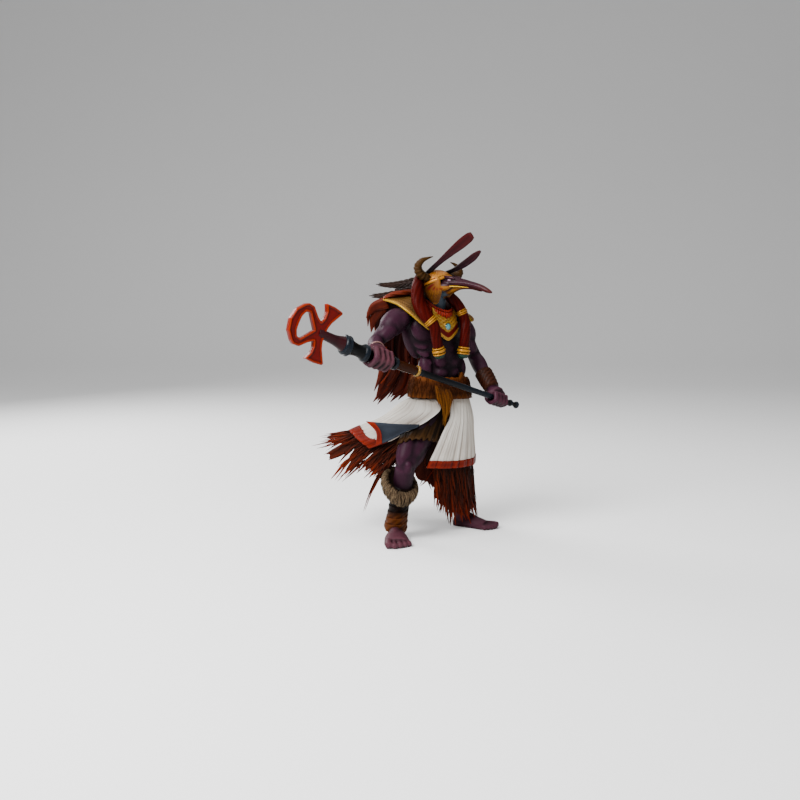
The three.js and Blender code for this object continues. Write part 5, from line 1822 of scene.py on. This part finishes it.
class STATUE_OT_body(StatuePiece, bpy.types.Operator):
    """Models the skin: torso, arms, fists, legs and bare feet"""

    bl_idname = "statue.body"
    bl_label = "Body"

    def execute(self, context):
        pieces = torso()
        pieces += arm(SHOULDER_R, ELBOW_R, WRIST_R, 1) + arm(SHOULDER_L, ELBOW_L, WRIST_L, -1)
        pieces += fist(FIST_R, WRIST_R, 1.05, GRIP_RADIUS) + fist(FIST_L, WRIST_L, 0.85, SHAFT_RADIUS)
        pieces += leg(HIP_R, KNEE_R, ANKLE_R, 1, True) + leg(HIP_L, KNEE_L, ANKLE_L, -1, False)
        pieces += foot(HEEL_R, TOE_R, ANKLE_R, 1, 1.35) + foot(HEEL_L, TOE_L, ANKLE_L, -1)

        def crisp(spot):
            if spot.z < FOOT_TOP:
                return True
            return (spot - FIST_R).length < FIST_R_REACH or (spot - FIST_L).length < FIST_L_REACH

        body = fuse("body", pieces, context.scene.statue_sizes.skin_voxel, 10, 2, crisp)
        cut_at_floor(body)
        places = places_of(body)
        paler = []
        for spot, reach, share in PALER_SKIN:
            away = np.linalg.norm(places - np.array(spot), axis=1)
            paler.append(share * np.clip((reach - away) / 5, 0, 1))
        store(body, "hands", np.max(paler, 0))
        skin = paint("skin_paint", SKIN[0], colours().skin, SKIN[2], (0.62, 0.46), scale=90, mottle=0.18,
                     grain=700, bump=0.2, sprayed=0.6, specular=0.08, layers=[("hands", *HANDS)])
        finish(body, skin, depth=0.45, passes=16)
        return {"FINISHED"}


class STATUE_OT_head(StatuePiece, bpy.types.Operator):
    """Models the animal head with its long curved snout, the eyes and the two tall ears"""

    bl_idname = "statue.head"
    bl_label = "Head"

    def execute(self, context):
        skull = fuse("head", head(), context.scene.statue_sizes.head_voxel, 3)
        gilding(skull)
        layers = [("maroon", "180404", "3c0c0c", "5c1814"), ("gilt", *CHEEK), ("stripes", *GILT_RED),
                  ("neck_shade", "3a424e", "627080", "84a4ae")]
        snout = paint("snout_paint", "10040a", "2c0b18", "4c1e2e", (0.45, 0.3), scale=120, mottle=0.2,
                      bump=0.12, sprayed=0.6, specular=0.1, layers=layers)
        finish(skull, snout, depth=0.4)
        finish(lips(), gold_paint("lip_gold_paint"), outwards=True)
        pair = join("ears", [
            ear(HEAD(8.5, -4, 9), at(66.4, -71, 288.5), (2.4, 2.5, 3.7, 4.8, 4.5, 3.2), 4),
            ear(HEAD(-8.5, 5, 9), at(74, -66, 274), (2, 2.1, 3.3, 3.5, 2.4, 1.2), -10),
        ])
        store(pair, "ends", np.clip((places_of(pair)[:, 2] - 256) / 26, 0, 1))
        dark = paint("ear_paint", "05060a", "180c16", "34202c", (0.5, 0.35), scale=300, bump=0.15,
                     sprayed=0.3, layers=[("ends", "1a0508", "421216", "5c1a1c")])
        finish(pair, dark, depth=0.4, outwards=True)
        # The eyes' pale lavender paint is a painted glint on the dark head; their coat and gloss are real
        eyes = [ball(HEAD(side * 6.2, 19.5, 2.6), HEAD, (1.1, 2.1, 1.0), 20, 13) for side in (-1, 1)]
        painted_glint = paint("eye_glint_paint", "4a2438", (0.1, 0.045, 0.075), (0.2, 0.11, 0.16), (0.3, 0.2), scale=500,
                     bump=0.0, coat=0.25, specular=0.3, sprayed=0.2)
        finish(join("eyes", eyes), painted_glint)
        return {"FINISHED"}


class STATUE_OT_headdress(StatuePiece, bpy.types.Operator):
    """Models the gilt cap with its brow band, the horns, the cheek cloths and the plaits"""

    bl_idname = "statue.headdress"
    bl_label = "Headdress"

    def execute(self, context):
        gilt = gilt_paint("cap_gold_paint", ("7a3606", "f07c0c", "ffa828"), mottle=0.35, bump=0.25,
                          specular=0.2, sprayed=0.6)
        finish(cap(), gilt, depth=0.4, outwards=True)
        brown = paint("horn_paint", "0a0502", "241505", "563610", scale=500, bump=0.3, sprayed=0.35)
        finish(horns(), brown, depth=0.3, outwards=True)
        cheeks = join("cheek_cloths", [cheek(1), cheek(-1)])
        gilding(cheeks)
        striped = gilt_paint("cheek_paint", CHEEK, mottle=0.35, bump=0.25, specular=0.15,
                             layers=[("stripes", *GILT_RED)])
        finish(cheeks, striped, depth=0.3, outwards=True)
        strands = plait(HEAD(7, -12, 2), at(-23.5, -8, 243), 4.4)
        strands += plait(HEAD(9, -12, -6), at(-30, -16, 232), 5.0)
        dark = paint("plait_paint", "040202", "150806", "38241c", (0.7, 0.5), scale=700, sprayed=0.2)
        finish(join("plaits", strands), dark, outwards=True)
        scarf = limb([HEAD(8, -10, 0), at(12, -28, 241), at(-5, -15, 238)],
                     [(3.4, 1.8), (3, 1.6), (0.6, 0.5)], FORWARD, 20, 24, name="scarf_end")
        finish(scarf, red_paint("scarf_paint", CAPE))
        return {"FINISHED"}


class STATUE_OT_lappets(StatuePiece, bpy.types.Operator):
    """Models the two twisted locks that fall to the chest, with their rings and end caps"""

    bl_idname = "statue.lappets"
    bl_label = "Lappets"

    def execute(self, context):
        cloths, rings, tips = zip(lappet(True), lappet(False))
        red = red_paint("lappet_paint", ("0e0102", "320403", "5c0f08"), sprayed=0.35, specular=0.03)
        finish(join("lappets", cloths), red, depth=0.35, outwards=True)
        gilt = gilt_paint("ring_gold_paint", ("3a1c06", "a05a10", "f0a428"), 0.35, specular=0.15)
        finish(join("lappet_rings", rings[0] + rings[1]), gilt, depth=0.3, outwards=True)
        green = paint("tip_paint", "020a07", "0a1f18", "1f4a3c", (0.4, 0.3), specular=0.15)
        finish(join("lappet_tips", tips), green, outwards=True)
        return {"FINISHED"}


class STATUE_OT_collar(StatuePiece, bpy.types.Operator):
    """Models the collar's yoke, breast piece, drop beads, mantle bands and stone"""

    bl_idname = "statue.collar"
    bl_label = "Collar"

    def execute(self, context):
        finish(sheet("collar_yoke", yoke_place, 140, 16, 2.2), red_paint("yoke_paint"))
        breast = join("breast_piece", [
            plate_band("breast_field", PLATE_BAND - 0.3, None, 0, 2.0, 0.9),
            plate_band("breast_edge", 0, PLATE_EDGE, 0.6, 2.6),
        ])
        pale = gilt_paint("breast_gold_paint", ("a0560a", "ffa424", "ffd050"), specular=0.15)
        finish(breast, pale, depth=0.3)
        band = plate_band("breast_band", PLATE_EDGE, PLATE_BAND, 0.2, 2.4)
        finish(band, red_paint("band_paint", GILT_RED), depth=0.3)
        coral = red_paint("bead_paint", ("400402", "8e1004", "e4380c"), specular=0.1)
        finish(bead_row(), coral, depth=0.3, outwards=True)
        field, edges = mantle()
        finish(field, gilt_paint("mantle_paint", BRONZE, bump=0.25, sprayed=0.35), depth=0.3)
        finish(edges, gold_paint("mantle_edge_paint"), depth=0.3, outwards=True)
        finish(stone_setting(), gold_paint("setting_paint"), depth=0.3, outwards=True)
        polish = paint("stone_polish", "003a48", "0094a8", "5cccd2", (0.1, 0.06), scale=260, mottle=0.8,
                       bump=0.0, coat=0.6, specular=0.5)
        finish(stone(), polish, replaced="collar_stone", outwards=True)
        return {"FINISHED"}


class STATUE_OT_cape(StatuePiece, bpy.types.Operator):
    """Models the torn cape down the back"""

    bl_idname = "statue.cape"
    bl_label = "Cape"

    def execute(self, context):
        finish(cape(), red_paint("cape_paint", CAPE, sprayed=0.55), depth=0.8, outwards=True)
        return {"FINISHED"}


class STATUE_OT_belt(StatuePiece, bpy.types.Operator):
    """Models the hide belt and the tuft of long hair at its front"""

    bl_idname = "statue.belt"
    bl_label = "Belt"

    def execute(self, context):
        hide = paint("hide_paint", "1a0a02", "5a2808", "8c4a14", (0.75, 0.6), scale=500, mottle=0.5)
        finish(belt(), hide)
        outside = 1 if facing(belt_place, 0.5, 0.5).dot(PELVIS.front) > 0 else -1
        locks = locks_on(belt_place, BELT_LOCKS, 8, (0.0, 0.72), (0.2, 0.36), (0.45, 1.0), (0.2, 1.1),
                         outside, 2.0, (0, 1.3), sway=0.008)
        finish(lock_piece("belt_fur", locks), hair_paint("belt_fur_paint", "8a4212", "642e0a", "7a4214"))
        finish(tuft(), hair_paint("tuft_paint", "7a3c10", "b0601a", "d0862e"))
        return {"FINISHED"}


class STATUE_OT_kilt(StatuePiece, bpy.types.Operator):
    """Models the pleated linen kilt, its red hem, and the corner that is turned back"""

    bl_idname = "statue.kilt"
    bl_label = "Kilt"

    def execute(self, context):
        linen, hem = kilt()
        finish(linen, linen_paint(), depth=0.6, passes=10)
        red = red_paint("hem_paint", ("400a04", "7c1408", "ac2c10"))
        finish(hem, red, depth=0.6, passes=10)
        lining, border = flap()
        finish(lining, paint("lining_paint", "12151a", "272c36", "48505e", (0.8, 0.65), scale=160))
        finish(border, red)
        return {"FINISHED"}


class STATUE_OT_under_skirt(StatuePiece, bpy.types.Operator):
    """Models the shaggy under-skirt with its locks, and the loin cloth"""

    bl_idname = "statue.under_skirt"
    bl_label = "Under-skirt"

    def execute(self, context):
        base, locks = under_skirt()
        finish(base, skirt_paint(), depth=0.6)
        finish(locks, hair_paint("skirt_hair_paint", "301808", "622606", "9c2e08"))
        hide = paint("loin_paint", "0c0602", "2c1a08", "543616", (0.75, 0.6), scale=400, mottle=0.4)
        finish(loin_cloth(), hide)
        return {"FINISHED"}


class STATUE_OT_shin(StatuePiece, bpy.types.Operator):
    """Models the right shin's leather wraps and fur cuff"""

    bl_idname = "statue.shin"
    bl_label = "Shin wraps"

    def execute(self, context):
        wraps = shin_wraps()
        store(wraps, "worn", np.clip((29 - places_of(wraps)[:, 2]) / 8, 0, 1))
        leather = paint("wrap_paint", "020101", "0c0402", "200e08", scale=380, sprayed=0.3, specular=0.03,
                        layers=[("worn", "1c0a04", "56260e", "7e441c")])
        finish(wraps, leather, depth=0.35, outwards=True)
        base, fur = fur_cuff()
        finish(base, paint("cuff_base_paint", "140c06", "32241a", "544030", scale=600), outwards=True)
        finish(fur, hair_paint("cuff_hair_paint", "22160e", "604632", "d0b088"))
        return {"FINISHED"}


class STATUE_OT_wrist_pieces(StatuePiece, bpy.types.Operator):
    """Models the left forearm's leather bracer and the bangle at the right wrist"""

    bl_idname = "statue.wrist_pieces"
    bl_label = "Wrist pieces"

    def execute(self, context):
        leather = paint("bracer_paint", "080302", "200b05", "46200e", scale=380, mottle=0.35)
        finish(bracer(), leather, depth=0.35, outwards=True)
        copper = paint("bangle_paint", "14090c", "4a2a2c", "b0807a", (0.4, 0.25), metal=0.3, specular=0.3)
        finish(bangle(), copper, outwards=True)
        return {"FINISHED"}


class STATUE_OT_staff(StatuePiece, bpy.types.Operator):
    """Models the staff: ankh, stem, grip, collars, ring, shaft and finial"""

    bl_idname = "statue.staff"
    bl_label = "Staff"

    def execute(self, context):
        blued = paint("blued_paint", "020203", "08090d", "1e2630", (0.4, 0.25), scale=300, specular=0.08,
                      sprayed=0.2)
        stem = paint("stem_paint", "0a0204", "220810", "42161c", (0.4, 0.28), specular=0.08, scale=300)
        section = paint("section_paint", "080301", "120502", "3e1a04", (0.3, 0.18), specular=0.06, scale=300,
                        sprayed=0.2)
        brass = paint("staff_ring_paint", "1c1006", "5a4018", "c89a44", (0.4, 0.25), metal=0.4, specular=0.2)
        for (name, rings), material in zip(STAFF_RINGS.items(), (stem, blued, section, brass, blued)):
            made = turned(name, rings)
            apply_modifier(made, "BEVEL", width=0.25, segments=2, limit_method="ANGLE",
                           angle_limit=math.radians(35))
            finish(made, material, replaced="staff", depth=0.3, outwards=True)
        # The rim layer paints a highlight along the ankh's raised rim
        enamel = paint("enamel_paint", "2e0402", colours().enamel, "b42600", (0.4, 0.24), scale=110,
                       mottle=0.35, bump=0.12, specular=0.08, sprayed=0.5,
                       layers=[("rim_highlight", "4a0802", "981802", "d04010")])
        finish(ankh(), enamel, replaced="staff", depth=0.4, passes=6)
        return {"FINISHED"}


class STATUE_OT_painted_shade(StatuePiece, bpy.types.Operator):
    """Works out the painted shade of all the pieces, from how closed in each place is"""

    bl_idname = "statue.wash"
    bl_label = "Painted shade"

    def execute(self, context):
        scene_pieces = [item for item in context.scene.objects if item.type == "MESH"]
        shade_hollows([item for item in scene_pieces if "relief" in item.data.attributes])
        return {"FINISHED"}


class STATUE_OT_stage(StatuePiece, bpy.types.Operator):
    """Adds the pale floor, the soft studio lights and the camera at the photograph's viewing angle"""

    bl_idname = "statue.stage"
    bl_label = "Stage"

    def execute(self, context):
        add_floor()
        add_lights()
        add_camera()
        return {"FINISHED"}


CAMERA_ELEVATION = math.radians(7)
CAMERA_DISTANCE = 1000
CAMERA_TARGET = at(0, 0, 128)
CAMERA_LENS = 45
CAMERA_SENSOR = 36

# The floor, in metres, turns up into a curved backdrop behind the statue
FLOOR_SIZE = 14
FLOOR_BEND = 1.6
FLOOR_CURVE = 0.6
FLOOR_GREY = (0.86, 0.86, 0.86, 1)

# The area lights as (name, place, size in metres, watts)
LIGHT_AIM = at(20, -20, 130)
LIGHTS = (
    ("key_light", at(-520, -700, 900), 0.6, 34),
    ("fill_light", at(800, -700, 350), 1.0, 4),
    ("rim_light", at(-700, 620, 650), 0.5, 12),
    ("top_light", at(120, 80, 1200), 0.9, 6),
)
WORLD_STRENGTH = 0.36


def add_floor():
    deselect_all()
    bpy.ops.mesh.primitive_grid_add(x_subdivisions=40, y_subdivisions=40, size=FLOOR_SIZE)
    floor = bpy.context.object
    floor.name = "studio_floor"
    for vertex in floor.data.vertices:
        rise = max(0, vertex.co.y - FLOOR_BEND)
        vertex.co.z = -0.0001 + FLOOR_CURVE * rise * rise
    bpy.ops.object.shade_smooth()
    material, wires, shader = new_material("studio_floor")
    wires.feed(shader, {"Base Color": FLOOR_GREY, "Roughness": 0.9})
    floor.data.materials.append(material)


def add_lights():
    for name, place, size, power in LIGHTS:
        deselect_all()
        bpy.ops.object.light_add(type="AREA", location=TO_FRAME @ place)
        lamp = bpy.context.object
        lamp.name = name
        lamp.data.size = size
        lamp.data.energy = power
        way = TO_FRAME @ LIGHT_AIM - lamp.location
        lamp.rotation_euler = way.to_track_quat("-Z", "Y").to_euler()
    world = bpy.data.worlds.new("studio")
    bpy.context.scene.world = world
    world.use_nodes = True
    background = world.node_tree.nodes["Background"]
    background.inputs["Color"].default_value = (1, 1, 1, 1)
    background.inputs["Strength"].default_value = WORLD_STRENGTH


def add_camera():
    deselect_all()
    offset = at(0, -math.cos(CAMERA_ELEVATION), math.sin(CAMERA_ELEVATION)) * CAMERA_DISTANCE
    bpy.ops.object.camera_add(location=TO_FRAME @ (CAMERA_TARGET + offset))
    camera = bpy.context.object
    camera.name = "photo_camera"
    camera.rotation_euler = (math.pi / 2 - CAMERA_ELEVATION, 0, 0)
    camera.data.lens = CAMERA_LENS
    camera.data.sensor_width = CAMERA_SENSOR
    bpy.context.scene.camera = camera


class STATUE_PT_panel(bpy.types.Panel):
    """Lists the statue's pieces, sizes and colours"""

    bl_label = "Statue"
    bl_idname = "STATUE_PT_panel"
    bl_space_type = "VIEW_3D"
    bl_region_type = "UI"
    bl_category = "Statue"

    def draw(self, context):
        for group in (context.scene.statue_sizes, context.scene.statue_colours):
            box = self.layout.box()
            for key in group.bl_rna.properties.keys():
                if key not in ("rna_type", "name"):
                    box.prop(group, key)
        for piece in PIECES:
            self.layout.operator(piece.bl_idname)


PIECES = (
    STATUE_OT_body,
    STATUE_OT_head,
    STATUE_OT_headdress,
    STATUE_OT_lappets,
    STATUE_OT_collar,
    STATUE_OT_cape,
    STATUE_OT_belt,
    STATUE_OT_kilt,
    STATUE_OT_under_skirt,
    STATUE_OT_shin,
    STATUE_OT_wrist_pieces,
    STATUE_OT_staff,
    STATUE_OT_painted_shade,
    STATUE_OT_stage,
)
CLASSES = (StatueSizes, StatueColours, *PIECES, STATUE_PT_panel)


def register():
    for item in CLASSES:
        bpy.utils.register_class(item)
    bpy.types.Scene.statue_sizes = bpy.props.PointerProperty(type=StatueSizes)
    bpy.types.Scene.statue_colours = bpy.props.PointerProperty(type=StatueColours)


def unregister():
    del bpy.types.Scene.statue_colours
    del bpy.types.Scene.statue_sizes
    for item in reversed(CLASSES):
        bpy.utils.unregister_class(item)


def main():
    register()
    for piece in PIECES:
        group, name = piece.bl_idname.split(".")
        getattr(getattr(bpy.ops, group), name)()


if __name__ == "__main__":
    main()
